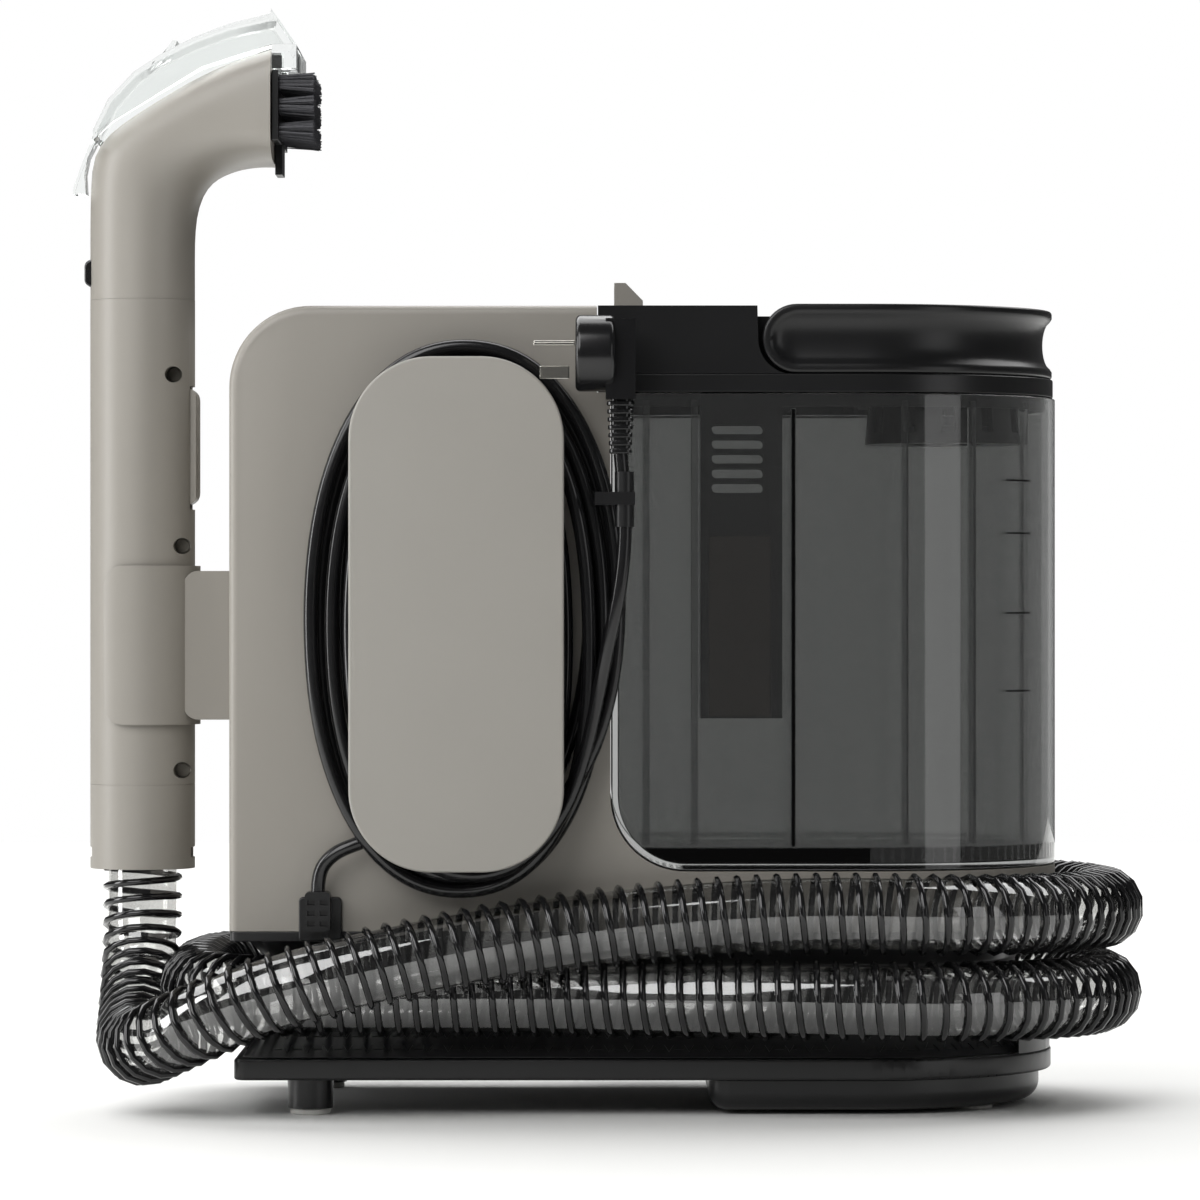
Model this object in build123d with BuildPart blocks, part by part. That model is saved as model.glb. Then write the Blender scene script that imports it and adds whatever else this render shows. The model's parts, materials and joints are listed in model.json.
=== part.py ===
"""Portable carpet cleaner: a tall housing with a removable tank, a hand tool, a hose and a mains cord.

Millimetres. +X runs from the tool to the round nose, +Y to the far side, +Z up. The origin is on the
floor, under the middle of the rigid parts. The round nose of every layer shares one vertical axis.
"""
from build123d import *
import os
from math import pi, radians, tan

os.makedirs("parts", exist_ok=True)

# ---------------------------------------------------------------- driving dimensions
body_left = -159.5
half_width = 95.0
nose_x = 146.5
nose_right = nose_x + half_width
wall = 2.6
fit_gap = 0.5

floor_plate_z = 17.2
cradle_z = 27.5
waist_low_z = 48.3
waist_high_z = 71.5
rim_z = 83.6
housing_z = 88.4
shelf_z = 117.0
lid_z = 345.5
ledge_z = 354.6
top_z = 387.0

column_right = 22.5
column_right_top = 16.0
corner_top = 39.0
corner_shelf = 36.0
waist_inset = 19.6

tank_wall = 3.0
tank_floor_z = shelf_z + fit_gap

handle_pivot = (111.5, 371.4)
handle_z = (354.9, 387.9)

tool_x = -208.0
tool_r = 25.75
tool_wall = 2.4
tool_foot_z = 114.5
tool_seam_z = 156.0
tool_neck_z = 394.0
tool_screw_spots = [(-191.5, 357.0), (-187.5, 273.0), (-187.5, 163.0)]

cover_x = -50.2
cover_z = 239.7
cover_front_y = -131.2

hose_d = 36.0
cord_d = 6.8
port_y = 111.0
port_z = 57.0
port_mouth_x = 62.0

motor_x = -75.0
button_x = -75.0


def finish(part, name):
    """Label a finished piece and write its STEP file."""
    part.label = name
    export_step(part, f"parts/{name}.step")


def nose_outline(inset=0.0, left=body_left, corner=0.0):
    """Plan of one layer, pulled in by an inset: square at the left, half round at the nose."""
    half = half_width - inset
    with BuildSketch() as outline:
        with BuildLine():
            Polyline((nose_x, half), (left, half), (left, -half), (nose_x, -half))
            ThreePointArc((nose_x, -half), (nose_x + half, 0), (nose_x, half))
        make_face()
        if corner:
            fillet(outline.vertices().sort_by(Axis.X)[0:2], corner)
    return outline.sketch_local


def housing_profile(inset=0.0, bottom=housing_z):
    """Side view of the housing: the column, its step beside the lid, and the shelf."""
    right = nose_right + 5
    lid_step = lid_z - inset
    top_left = (body_left + inset, top_z - inset)
    shelf_corner = (column_right - inset, shelf_z - inset)
    with BuildSketch() as profile:
        with BuildLine():
            Polyline(
                (body_left + inset, bottom),
                (right, bottom),
                (right, shelf_z - inset),
                shelf_corner,
                (column_right - inset, lid_step),
                (column_right_top - inset, lid_step),
                (column_right_top - inset, top_z - inset),
                top_left,
                close=True,
            )
        make_face()
        fillet(profile.vertices().sort_by_distance(top_left)[0], corner_top - inset)
        fillet(profile.vertices().sort_by_distance(shelf_corner)[0], corner_shelf + inset)
    return profile.sketch_local


# ---------------------------------------------------------------- housing shells
boss_spots = [(-133, 360), (-148, 101), (-25, 372), (-25, 101), (55, 101), (134, 101)]
duct_mouth_y = 58.0

with BuildPart() as cavity:
    with BuildSketch(Plane.XZ):
        add(housing_profile(wall, housing_z - 1))
    extrude(amount=half_width, both=True)
    with BuildSketch(Plane.XY.offset(housing_z - 1)):
        add(nose_outline(wall, body_left + wall))
    extrude(amount=top_z, mode=Mode.INTERSECT)
    with BuildSketch(Plane.XZ):
        with Locations(*boss_spots):
            Circle(5)
    extrude(amount=half_width, both=True, mode=Mode.SUBTRACT)

with BuildPart() as housing:
    with BuildSketch(Plane.XZ):
        add(housing_profile())
    extrude(amount=half_width, both=True)
    with BuildSketch(Plane.XY.offset(housing_z)):
        add(nose_outline())
    extrude(amount=top_z, mode=Mode.INTERSECT)
    side_rims = [
        edge
        for edge in faces().filter_by(Plane.XZ).edges()
        if edge.center().X < body_left + corner_top or edge.center().Z > top_z - 1
    ]
    fillet(side_rims, 4.3)
    add(cavity.part, mode=Mode.SUBTRACT)
    with Locations((button_x, 0, top_z)):
        Cylinder(18.05, 20, mode=Mode.SUBTRACT)
    for side in (-1, 1):
        with Locations((column_right_top, side * duct_mouth_y, 364)):
            Box(12, 28, 24, mode=Mode.SUBTRACT)

with BuildPart() as housing_near:
    add(housing.part)
    with BuildSketch(Plane.XZ):
        with Locations(*boss_spots):
            Circle(1.5)
    extrude(amount=12, mode=Mode.SUBTRACT)
    split(bisect_by=Plane.XZ, keep=Keep.TOP)
finish(housing_near.part, "housing_near")

with BuildPart() as housing_far:
    add(housing.part)
    with BuildSketch(Plane.XZ):
        with Locations(*boss_spots):
            Circle(1.6)
    extrude(amount=-20, mode=Mode.SUBTRACT)
    with BuildSketch(Plane.XZ.offset(-10)):
        with Locations(*boss_spots):
            Circle(3.6)
    extrude(amount=-half_width, mode=Mode.SUBTRACT)
    split(bisect_by=Plane.XZ, keep=Keep.BOTTOM)
finish(housing_far.part, "housing_far")

with BuildPart() as housing_screws:
    with BuildSketch(Plane.XZ.offset(-10)):
        with Locations(*boss_spots):
            Circle(3.2)
    extrude(amount=-3)
    with BuildSketch(Plane.XZ.offset(-10)):
        with Locations(*boss_spots):
            Circle(1.5)
    extrude(amount=21)
finish(housing_screws.part, "housing_screws")

# ---------------------------------------------------------------- base
with BuildPart() as base_rim:
    with BuildSketch(Plane.XY.offset(rim_z)):
        add(nose_outline(0.3, body_left + 0.3, 4.3))
        add(nose_outline(11, body_left + 11, 4.3), mode=Mode.SUBTRACT)
    extrude(amount=housing_z - rim_z)
finish(base_rim.part, "base_rim")

cradle_layers = [(cradle_z, 5.5), (waist_low_z, waist_inset), (waist_high_z, waist_inset), (rim_z, 7.5)]


with BuildPart() as cradle_core:
    for height, inset in cradle_layers:
        with BuildSketch(Plane.XY.offset(height)):
            add(nose_outline(inset + wall, body_left + inset + wall, 12))
    loft(ruled=True)

with BuildPart() as hose_cradle:
    for height, inset in cradle_layers:
        with BuildSketch(Plane.XY.offset(height)):
            add(nose_outline(inset, body_left + inset, 12))
    loft(ruled=True)
    add(cradle_core.part, mode=Mode.SUBTRACT)
    with Locations((32, 74, 62)):
        Box(30, 12, 12, mode=Mode.SUBTRACT)
finish(hose_cradle.part, "hose_cradle")

with BuildPart() as base_plate:
    with BuildSketch(Plane.XY.offset(floor_plate_z)):
        add(nose_outline(2, body_left + 2, 6))
    extrude(amount=cradle_z - floor_plate_z)
    fillet(faces().filter_by(Plane.XY).edges(), 1.5)
    with BuildSketch(Plane.XY.offset(floor_plate_z + 3)):
        add(nose_outline(9, body_left + 9, 6))
    extrude(amount=cradle_z, mode=Mode.SUBTRACT)
    with BuildSketch(Plane.XY.offset(cradle_z - 1)):
        add(nose_outline(2.6))
        add(nose_outline(5.2), mode=Mode.SUBTRACT)
        with Locations((30, 0)):
            Rectangle(380, 400, mode=Mode.SUBTRACT)
    extrude(amount=13)
    with BuildSketch(Plane.XY.offset(3)):
        with Locations((-121.5, -75), (-121.5, 75)):
            Circle(11)
    extrude(amount=floor_plate_z - 3)
finish(base_plate.part, "base_plate")

with BuildPart() as bottom_pod:
    with BuildSketch(Plane.XY.offset(2)):
        add(nose_outline(8, 69.5, 11))
    extrude(amount=floor_plate_z - 2)
    fillet(faces().sort_by(Axis.Z)[0].edges(), 9)
    with BuildSketch(Plane.XY.offset(6)):
        add(nose_outline(18, 80, 6))
    extrude(amount=floor_plate_z, mode=Mode.SUBTRACT)
finish(bottom_pod.part, "bottom_pod")

with BuildPart() as foot_pads:
    with Locations((-121.5, -75, 1.5), (-121.5, 75, 1.5)):
        Cylinder(9.7, 3)
    with Locations((198.1, -43, 1), (198.1, 43, 1)):
        Cylinder(10, 2)
finish(foot_pads.part, "foot_pads")

# ---------------------------------------------------------------- cord store on the near face
post_depth = -cover_front_y - 3.4 - half_width

with BuildPart() as cord_post:
    with BuildSketch(Plane.XZ.offset(half_width)):
        with Locations((cover_x, cover_z)):
            RectangleRounded(58, 172, 28)
            RectangleRounded(51, 165, 24.5, mode=Mode.SUBTRACT)
    extrude(amount=post_depth)
finish(cord_post.part, "cord_post")

with BuildPart() as cord_cover:
    with BuildSketch(Plane.XZ.offset(half_width + post_depth)):
        with Locations((cover_x, cover_z)):
            RectangleRounded(101.5, 243, 39)
    extrude(amount=3.4)
    fillet(faces().sort_by(Axis.Y)[0].edges(), 1.2)
finish(cord_cover.part, "cord_cover")

with BuildPart() as cord_inlet_plate:
    with BuildSketch(Plane.XZ.offset(half_width)):
        with Locations((-115.75, 94.5)):
            RectangleRounded(20.5, 21, 2)
    extrude(amount=3)
finish(cord_inlet_plate.part, "cord_inlet_plate")

gland_x = -116.5
gland_top_z = 108.0
with BuildPart() as cord_gland:
    with BuildSketch(Plane.XZ.offset(half_width + 3)):
        with Locations((gland_x, 98.5)):
            RectangleRounded(12, 19, 2)
    extrude(amount=12)
    for column in (-1, 1):
        for row in range(3):
            with Locations((gland_x + 3 * column, -(half_width + 15), 93 + 5 * row)):
                Box(3.6, 4, 2.4, mode=Mode.SUBTRACT)
finish(cord_gland.part, "cord_gland")

# ---------------------------------------------------------------- tool clip
with BuildPart() as tool_clip:
    with BuildSketch(Plane.XY.offset(180)):
        with Locations((tool_x, 0)):
            Circle(tool_r + 2.7)
            Circle(tool_r + 0.5, mode=Mode.SUBTRACT)
    extrude(amount=90)
    with BuildSketch(Plane.XZ):
        with Locations((tool_x + 12, 224.35)):
            RectangleRounded(59, 77.9, 10)
    extrude(amount=40, both=True, mode=Mode.INTERSECT)
finish(tool_clip.part, "tool_clip")

post_left = -186.5

with BuildPart() as clip_post:
    with BuildSketch(Plane.XZ.offset(-18)):
        with Locations(((body_left + post_left) / 2 + 5, 224.3)):
            RectangleRounded(body_left - post_left + 10, 72.9, 7)
        with Locations((body_left + 10, 224.3)):
            Rectangle(20, 80, mode=Mode.SUBTRACT)
    extrude(amount=36)
    with Locations((tool_x, 0, 224.3)):
        Cylinder(tool_r + 2.7, 90, mode=Mode.SUBTRACT)
finish(clip_post.part, "clip_post")

# ---------------------------------------------------------------- vacuum motor
fan_z = 198.0

with BuildPart() as fan_housing:
    with BuildSketch(Plane.XY.offset(fan_z - 12)):
        with Locations((-84, 0)):
            Rectangle(138, 178)
        with Locations((motor_x, 0)):
            Circle(24, mode=Mode.SUBTRACT)
    extrude(amount=4)
    with BuildSketch(Plane.XY.offset(fan_z - 8)):
        with Locations((motor_x, 0)):
            Circle(62)
            Circle(59.5, mode=Mode.SUBTRACT)
    extrude(amount=42)
finish(fan_housing.part, "fan_housing")

with BuildPart() as motor_can:
    with Locations((motor_x, 0, 275)):
        Cylinder(46, 86)
        Cylinder(44, 82, mode=Mode.SUBTRACT)
        Cylinder(4.05, 90, mode=Mode.SUBTRACT)
    with Locations((motor_x, 0, 233)):
        Cylinder(62, 2)
        Cylinder(4.05, 3, mode=Mode.SUBTRACT)
finish(motor_can.part, "motor_can")

with BuildPart() as fan_rotor:
    with Locations((motor_x, 0, 256)):
        Cylinder(4, 124)
    with Locations((motor_x, 0, 200)):
        Cylinder(54, 2)
    with Locations((motor_x, 0, 208)):
        Cylinder(12, 18)
    for turn in range(8):
        with Locations(Location((motor_x, 0, 209), (0, 0, 45 * turn)) * Location((32, 0, 0))):
            Box(42, 2, 18)
finish(fan_rotor.part, "fan_rotor")

with BuildPart() as motor_armature:
    with Locations((motor_x, 0, 272)):
        Cylinder(26, 50)
        Cylinder(4, 50, mode=Mode.SUBTRACT)
finish(motor_armature.part, "motor_armature")


def open_duct(x_size, y_size, bottom, top, center_x, center_y):
    """A vertical square duct, open at the bottom, with a mouth to the right under its closed top."""
    height = top - bottom
    with Locations((center_x, center_y, bottom + height / 2)):
        Box(x_size, y_size, height)
    with Locations((center_x, center_y, bottom + height / 2 - 2)):
        Box(x_size - 4, y_size - 4, height, mode=Mode.SUBTRACT)
    with Locations((center_x + x_size / 2, center_y, top - 13)):
        Box(8, y_size - 4, 20, mode=Mode.SUBTRACT)


with BuildPart() as suction_duct:
    open_duct(24, 28, 56, 377, -2, duct_mouth_y)
finish(suction_duct.part, "suction_duct")

with BuildPart() as fan_duct:
    open_duct(24, 28, 150, 377, -2, -duct_mouth_y)
    with Locations((-50, -22, 168)):
        Box(120, 100, 36)
        Box(116, 96, 32, mode=Mode.SUBTRACT)
    with Locations((motor_x, 0, 185)):
        Cylinder(24, 8, mode=Mode.SUBTRACT)
finish(fan_duct.part, "fan_duct")

# ---------------------------------------------------------------- water pump and electrics
with BuildPart() as water_pump:
    with Locations((-95, 40, 116)):
        Box(56, 40, 34)
    with Locations((-58, 40, 116)):
        Cylinder(13, 18, rotation=(0, 90, 0))
    fillet(edges().filter_by(Axis.Z), 3)
finish(water_pump.part, "water_pump")

with BuildPart() as water_tubes:
    with BuildLine():
        FilletPolyline((-49, 40, 116), (-24, 40, 116), (10, 20, 104), (44, 20, 102), radius=12)
    with BuildSketch(Plane(origin=(-49, 40, 116), z_dir=(1, 0, 0))):
        Circle(4)
    sweep()
finish(water_tubes.part, "water_tubes")

with BuildPart() as control_board:
    with Locations((-60, 20, 336)):
        Box(90, 90, 1.6)
    for place in range(3):
        with Locations((-85 + 22 * place, 40, 341.8)):
            Box(12, 16, 10)
finish(control_board.part, "control_board")

with BuildPart() as power_switch:
    with Locations((button_x, 0, 364)):
        Box(28, 20, 18)
finish(power_switch.part, "power_switch")

with BuildPart() as button_bezel:
    with BuildSketch(Plane.XY.offset(top_z - 6)):
        with Locations((button_x, 0)):
            Circle(18)
            Circle(14.4, mode=Mode.SUBTRACT)
    extrude(amount=6)
finish(button_bezel.part, "button_bezel")

with BuildPart() as power_button:
    with Locations((button_x, 0, top_z - 3.5)):
        Cylinder(14, 7)
        fillet(edges().sort_by(Axis.Z)[-1], 1)
    with Locations((button_x, 0, top_z - 8.5)):
        Cylinder(4, 4)
finish(power_button.part, "power_button")

# ---------------------------------------------------------------- hose port on the far side
port_length = 52
port_bore = 46
with BuildPart() as hose_port:
    with Locations((port_mouth_x - port_length / 2, port_y, port_z)):
        Cylinder(20.2, port_length, rotation=(0, 90, 0))
    with Locations((32, (port_y + 75.4) / 2, 62)):
        Box(36, port_y - 75.4, 17)
        Box(30, port_y - 75.4, 12, mode=Mode.SUBTRACT)
    with Locations((port_mouth_x - port_bore / 2, port_y, port_z)):
        Cylinder(16, port_bore, rotation=(0, 90, 0), mode=Mode.SUBTRACT)
finish(hose_port.part, "hose_port")

# ---------------------------------------------------------------- tank
def tank_profile(inset, top):
    """Side view of the tank with its rounded lower left corner."""
    left = column_right + fit_gap + inset
    low = tank_floor_z + inset
    right = nose_right + 5
    with BuildSketch() as profile:
        with BuildLine():
            Polyline((left, low), (right, low), (right, top), (left, top), close=True)
        make_face()
        fillet(profile.vertices().sort_by_distance((left, low))[0], corner_shelf - fit_gap - inset)
    return profile.sketch_local


with BuildPart() as tank_cavity:
    with BuildSketch(Plane.XZ):
        add(tank_profile(tank_wall, lid_z + 5))
    extrude(amount=half_width, both=True)
    with BuildSketch(Plane.XY.offset(tank_floor_z)):
        add(nose_outline(tank_wall, 0))
    extrude(amount=lid_z, mode=Mode.INTERSECT)

with BuildPart() as tank_shell:
    with BuildSketch(Plane.XZ):
        add(tank_profile(0, lid_z - 0.4))
    extrude(amount=half_width, both=True)
    with BuildSketch(Plane.XY.offset(tank_floor_z)):
        add(nose_outline(0, 0))
    extrude(amount=lid_z, mode=Mode.INTERSECT)
    add(tank_cavity.part, mode=Mode.SUBTRACT)
finish(tank_shell.part, "tank_shell")

tank_base_z = 128.5
with BuildPart() as tank_base:
    add(tank_cavity.part)
    split(bisect_by=Plane.XY.offset(tank_base_z), keep=Keep.BOTTOM)
finish(tank_base.part, "tank_base")

with BuildPart() as tank_partition:
    with Locations((130, 13.25, (tank_base_z + 338) / 2)):
        Box(260, 2.5, 338 - tank_base_z)
    with Locations((109.75, -40, (tank_base_z + 338) / 2)):
        Box(2.5, 104, 338 - tank_base_z)
    add(tank_cavity.part, mode=Mode.INTERSECT)
finish(tank_partition.part, "tank_partition")

# ---------------------------------------------------------------- lid
float_x = 184.5
float_y = -36.0
duct_x = 85.0
lid_left = column_right_top + fit_gap

with BuildPart() as lid_base:
    with BuildSketch(Plane.XY.offset(lid_z)):
        add(nose_outline(1, lid_left, 3))
    extrude(amount=ledge_z - lid_z)
    with BuildSketch(Plane.XY.offset(lid_z + 3)):
        add(nose_outline(4, lid_left + 3, 2))
    extrude(amount=ledge_z, mode=Mode.SUBTRACT)
    with Locations((duct_x, -76.75, lid_z)):
        Box(34, 24, 10, mode=Mode.SUBTRACT)
    with Locations((float_x, float_y, lid_z)):
        Cylinder(24, 10, mode=Mode.SUBTRACT)
finish(lid_base.part, "lid_base")

island_inset = 38.0
island_half = half_width - island_inset
block_right = 92.6
pivot_x, pivot_z = handle_pivot

with BuildPart() as lid_cover:
    with BuildSketch(Plane.XZ):
        with BuildLine():
            Polyline((106.4, ledge_z), (lid_left, ledge_z), (lid_left, top_z), (block_right, top_z))
            Line((block_right, top_z), (93, pivot_z))
            ThreePointArc((93, pivot_z), (95.5, 362.3), (106.4, ledge_z))
        make_face()
    extrude(amount=half_width - 1, both=True)
    with BuildSketch(Plane.XY.offset(ledge_z)):
        add(nose_outline(island_inset, 90))
    extrude(amount=29)
    for side in (-1, 1):
        with Locations((pivot_x, side * (island_half + 11.2), pivot_z)):
            Cylinder(10, 22.4, rotation=(90, 0, 0))
            Cylinder(4, 30, rotation=(90, 0, 0), mode=Mode.SUBTRACT)
    with BuildSketch(Plane.XY.offset(ledge_z)):
        with Locations(((lid_left + 89.6) / 2, 0)):
            Rectangle(89.6 - lid_left - 6, 2 * half_width - 10)
        add(nose_outline(island_inset + 3, 86))
    extrude(amount=26, mode=Mode.SUBTRACT)
    for side in (-1, 1):
        with Locations((lid_left, side * duct_mouth_y, 366)):
            Box(10, 24, 20, mode=Mode.SUBTRACT)
    with Locations((31.5, 0, top_z)):
        Box(18, 48, 30, mode=Mode.SUBTRACT)
    with Locations((31.5, -26, 379), (31.5, 26, 379)):
        Box(18, 4, 10)
    with Locations((31.5, 0, 379)):
        Cylinder(2, 60, rotation=(90, 0, 0), mode=Mode.SUBTRACT)
finish(lid_cover.part, "lid_cover")

with BuildPart() as lid_pins:
    for side in (-1, 1):
        with Locations((pivot_x, side * 76.5, pivot_z)):
            Cylinder(4, 21, rotation=(90, 0, 0))
    with Locations((31.5, 0, 379)):
        Cylinder(2, 56, rotation=(90, 0, 0))
finish(lid_pins.part, "lid_pins")

with BuildPart() as release_lever:
    with BuildSketch(Plane.XZ):
        with BuildLine():
            Polyline((24.5, 376), (24.5, 401.7), (30, 401.7), (38.5, 393), (38.5, 376), close=True)
        make_face()
    extrude(amount=22, both=True)
    with Locations((31.5, 0, 379)):
        Cylinder(2.06, 60, rotation=(90, 0, 0), mode=Mode.SUBTRACT)
finish(release_lever.part, "release_lever")

grip_half_height = 11.8
with BuildPart() as grip_groove:
    with BuildSketch(Plane.XY.offset(pivot_z - grip_half_height)):
        add(nose_outline(-2, pivot_x - 13))
        add(nose_outline(5.9, pivot_x - 14), mode=Mode.SUBTRACT)
    extrude(amount=2 * grip_half_height)
    with BuildSketch(Plane.XZ):
        with Locations((pivot_x, pivot_z)):
            Circle(grip_half_height)
        with Locations((pivot_x + half_width, pivot_z)):
            Rectangle(2 * half_width, 2 * grip_half_height)
    extrude(amount=half_width + 5, both=True, mode=Mode.INTERSECT)

with BuildPart() as bail_handle:
    with BuildSketch(Plane.XY.offset(handle_z[0])):
        add(nose_outline(1.5, pivot_x))
        add(nose_outline(15, pivot_x - 1), mode=Mode.SUBTRACT)
    extrude(amount=handle_z[1] - handle_z[0])
    for side in (-1, 1):
        with Locations((pivot_x, side * (half_width - 8.25), pivot_z)):
            Cylinder(16.5, 13.5, rotation=(90, 0, 0))
        with Locations((pivot_x, side * 80, pivot_z)):
            Cylinder(4.06, 14.6, rotation=(90, 0, 0), mode=Mode.SUBTRACT)
    add(grip_groove.part, mode=Mode.SUBTRACT)
finish(bail_handle.part, "bail_handle")

with BuildPart() as inlet_duct:
    with Locations((duct_x, -76.75, (190 + lid_z) / 2)):
        Box(39, 29.5, lid_z - 190)
        Box(35, 25.5, lid_z - 190, mode=Mode.SUBTRACT)
    with Locations((duct_x - 0.8, -91.5, 234)):
        Box(29.5, 2.4, 86, mode=Mode.SUBTRACT)
    with BuildSketch(Plane.XZ.offset(91.5)):
        for slot in range(5):
            with Locations((duct_x - 1.7, 300 + 7 * slot)):
                SlotOverall(25, 4.7)
    extrude(amount=-32, mode=Mode.SUBTRACT)
finish(inlet_duct.part, "inlet_duct")

with BuildPart() as duct_panel:
    with Locations((duct_x - 0.8, -90.9, 234)):
        Box(29.5, 1.2, 86)
finish(duct_panel.part, "duct_panel")

with BuildPart() as float_basket:
    with BuildSketch(Plane.XY.offset(322)):
        with Locations((float_x, float_y)):
            Circle(38)
    with BuildSketch(Plane.XY.offset(lid_z)):
        with Locations((float_x, float_y)):
            Circle(36)
    loft()
    with Locations((float_x, float_y, 335)):
        Cylinder(33.5, 21.1, mode=Mode.SUBTRACT)
    with Locations((float_x, float_y, 322)):
        Cylinder(20, 10, mode=Mode.SUBTRACT)
    for turn in range(12):
        with Locations(Location((float_x, float_y, 334), (0, 0, 30 * turn)) * Location((36, 0, 0))):
            Box(10, 6, 13, mode=Mode.SUBTRACT)
finish(float_basket.part, "float_basket")

with BuildPart() as float_disc:
    with Locations((float_x, float_y, 328)):
        Cylinder(29, 5)
    with Locations((float_x, float_y, 333)):
        Cylinder(8, 6)
finish(float_disc.part, "float_disc")

# ---------------------------------------------------------------- hand tool handle
tool_middle_z = (tool_seam_z + tool_neck_z) / 2
trigger_pin_spot = (-192.0, 343.0)

with BuildPart() as tool_envelope:
    with Locations((tool_x, 0, tool_middle_z)):
        Cylinder(tool_r, tool_neck_z - tool_seam_z)

with BuildPart() as tool_handle:
    with Locations((tool_x, 0, tool_middle_z)):
        Cylinder(tool_r, tool_neck_z - tool_seam_z)
        Cylinder(tool_r - tool_wall, tool_neck_z - tool_seam_z, mode=Mode.SUBTRACT)
    with BuildSketch(Plane.XZ):
        with Locations(*tool_screw_spots):
            Circle(5.5)
    extrude(amount=tool_r, both=True)
    for side in (-1, 1):
        with Locations((trigger_pin_spot[0], side * 13, trigger_pin_spot[1])):
            Box(7, 6, 10)
    add(tool_envelope.part, mode=Mode.INTERSECT)
    with BuildSketch(Plane.XZ):
        with Locations(*tool_screw_spots):
            Circle(1.5)
    extrude(amount=12, both=True, mode=Mode.SUBTRACT)
    with BuildSketch(Plane.XZ.offset(8)):
        with Locations(*tool_screw_spots):
            Circle(4)
    extrude(amount=tool_r, mode=Mode.SUBTRACT)
    with Locations((trigger_pin_spot[0], 0, trigger_pin_spot[1])):
        Cylinder(2, 31, rotation=(90, 0, 0), mode=Mode.SUBTRACT)
    with Locations((-178, 0, 321.3)):
        Box(24, 19, 60.6, mode=Mode.SUBTRACT)

with BuildPart() as tool_shell_near:
    add(tool_handle.part)
    split(bisect_by=Plane.XZ, keep=Keep.TOP)
finish(tool_shell_near.part, "tool_shell_near")

with BuildPart() as tool_shell_far:
    add(tool_handle.part)
    split(bisect_by=Plane.XZ, keep=Keep.BOTTOM)
finish(tool_shell_far.part, "tool_shell_far")

with BuildPart() as tool_screws:
    with BuildSketch(Plane.XZ.offset(8)):
        with Locations(*tool_screw_spots):
            Circle(3.2)
    extrude(amount=2.2)
    with BuildSketch(Plane.XZ.offset(8)):
        with Locations(*tool_screw_spots):
            Circle(1.5)
    extrude(amount=-18)
finish(tool_screws.part, "tool_screws")

with BuildPart() as tool_collar:
    with Locations((tool_x, 0, (tool_foot_z + tool_seam_z) / 2)):
        Cylinder(tool_r, tool_seam_z - tool_foot_z)
        Cylinder(16, tool_seam_z - tool_foot_z, mode=Mode.SUBTRACT)
    for side in (-1, 1):
        with Locations((tool_x + side * 24, 0, 122.5)):
            Box(6, 16, 5, mode=Mode.SUBTRACT)
finish(tool_collar.part, "tool_collar")

with BuildPart() as trigger_pin:
    with Locations((trigger_pin_spot[0], 0, trigger_pin_spot[1])):
        Cylinder(2, 30, rotation=(90, 0, 0))
finish(trigger_pin.part, "trigger_pin")

with BuildPart() as trigger_swept:
    with Locations((tool_x, 0, 322)):
        Cylinder(tool_r + 2.6, 58)
        Cylinder(tool_r - 1.8, 58, mode=Mode.SUBTRACT)
    with BuildSketch(Plane.XZ):
        with Locations((tool_x + 8, 322)):
            RectangleRounded(40.4, 58, 7)
    extrude(amount=9, both=True, mode=Mode.INTERSECT)

with BuildPart() as trigger:
    add(trigger_swept.part)
    with Locations((-187.5, 0, trigger_pin_spot[1])):
        Box(9, 18, 8)
    with Locations((trigger_pin_spot[0], 0, trigger_pin_spot[1])):
        Cylinder(4, 18, rotation=(90, 0, 0))
        Cylinder(2.06, 20, rotation=(90, 0, 0), mode=Mode.SUBTRACT)
finish(trigger.part, "trigger")

with BuildPart() as spray_valve:
    with Locations((-206, 0, 313)):
        Box(16, 14, 34)
    with Locations((-196, 0, 305)):
        Cylinder(2, 10, rotation=(0, 90, 0))
    with Locations((-206, 0, 213)):
        Cylinder(3, 166)
finish(spray_valve.part, "spray_valve")

# ---------------------------------------------------------------- hand tool head
mouth_x = -142.5
head_top = [(-232.3, 468), (-220.5, 479.5), (-198.5, 492.8), (-176.5, 505.6), (mouth_x, 516)]
head_under = [(mouth_x, 461), (-157.4, 459.8), (-168.5, 455.4), (-177.5, 448), (-182.2, 430)]


def fan_plan():
    """Plan of the head: as wide as the tube at the left, widening towards the mouth."""
    with BuildSketch() as plan:
        with BuildLine():
            Polyline(
                (-245, 26), (tool_x, 27), (-128, 47), (-128, -47), (tool_x, -27), (-245, -26), close=True
            )
        make_face()
    return plan.sketch_local


with BuildPart() as head_shell:
    with BuildSketch(Plane.XZ):
        with BuildLine():
            Polyline((-233.7, 430), *head_top, *head_under, close=True)
        make_face()
    extrude(amount=50, both=True)
    with BuildSketch(Plane.XY.offset(400)):
        add(fan_plan())
    extrude(amount=140, mode=Mode.INTERSECT)
    with Locations((tool_x, 0, 419.7)):
        Cylinder(tool_r, 50.6)
    with Locations((tool_x, 0, 384)):
        Cylinder(tool_r - tool_wall - 0.35, 24)
    with Locations((tool_x, 0, 416)):
        Cylinder(21, 92, mode=Mode.SUBTRACT)
    with Locations((-214, 0, 470)):
        Box(20, 36, 50, mode=Mode.SUBTRACT)
    with Locations((-159, 0, 483)):
        Box(34, 60, 34, mode=Mode.SUBTRACT)
    with Locations((-233, 0, 407.3)):
        Box(24, 15, 14.3, mode=Mode.SUBTRACT)
finish(head_shell.part, "head_shell")

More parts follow.
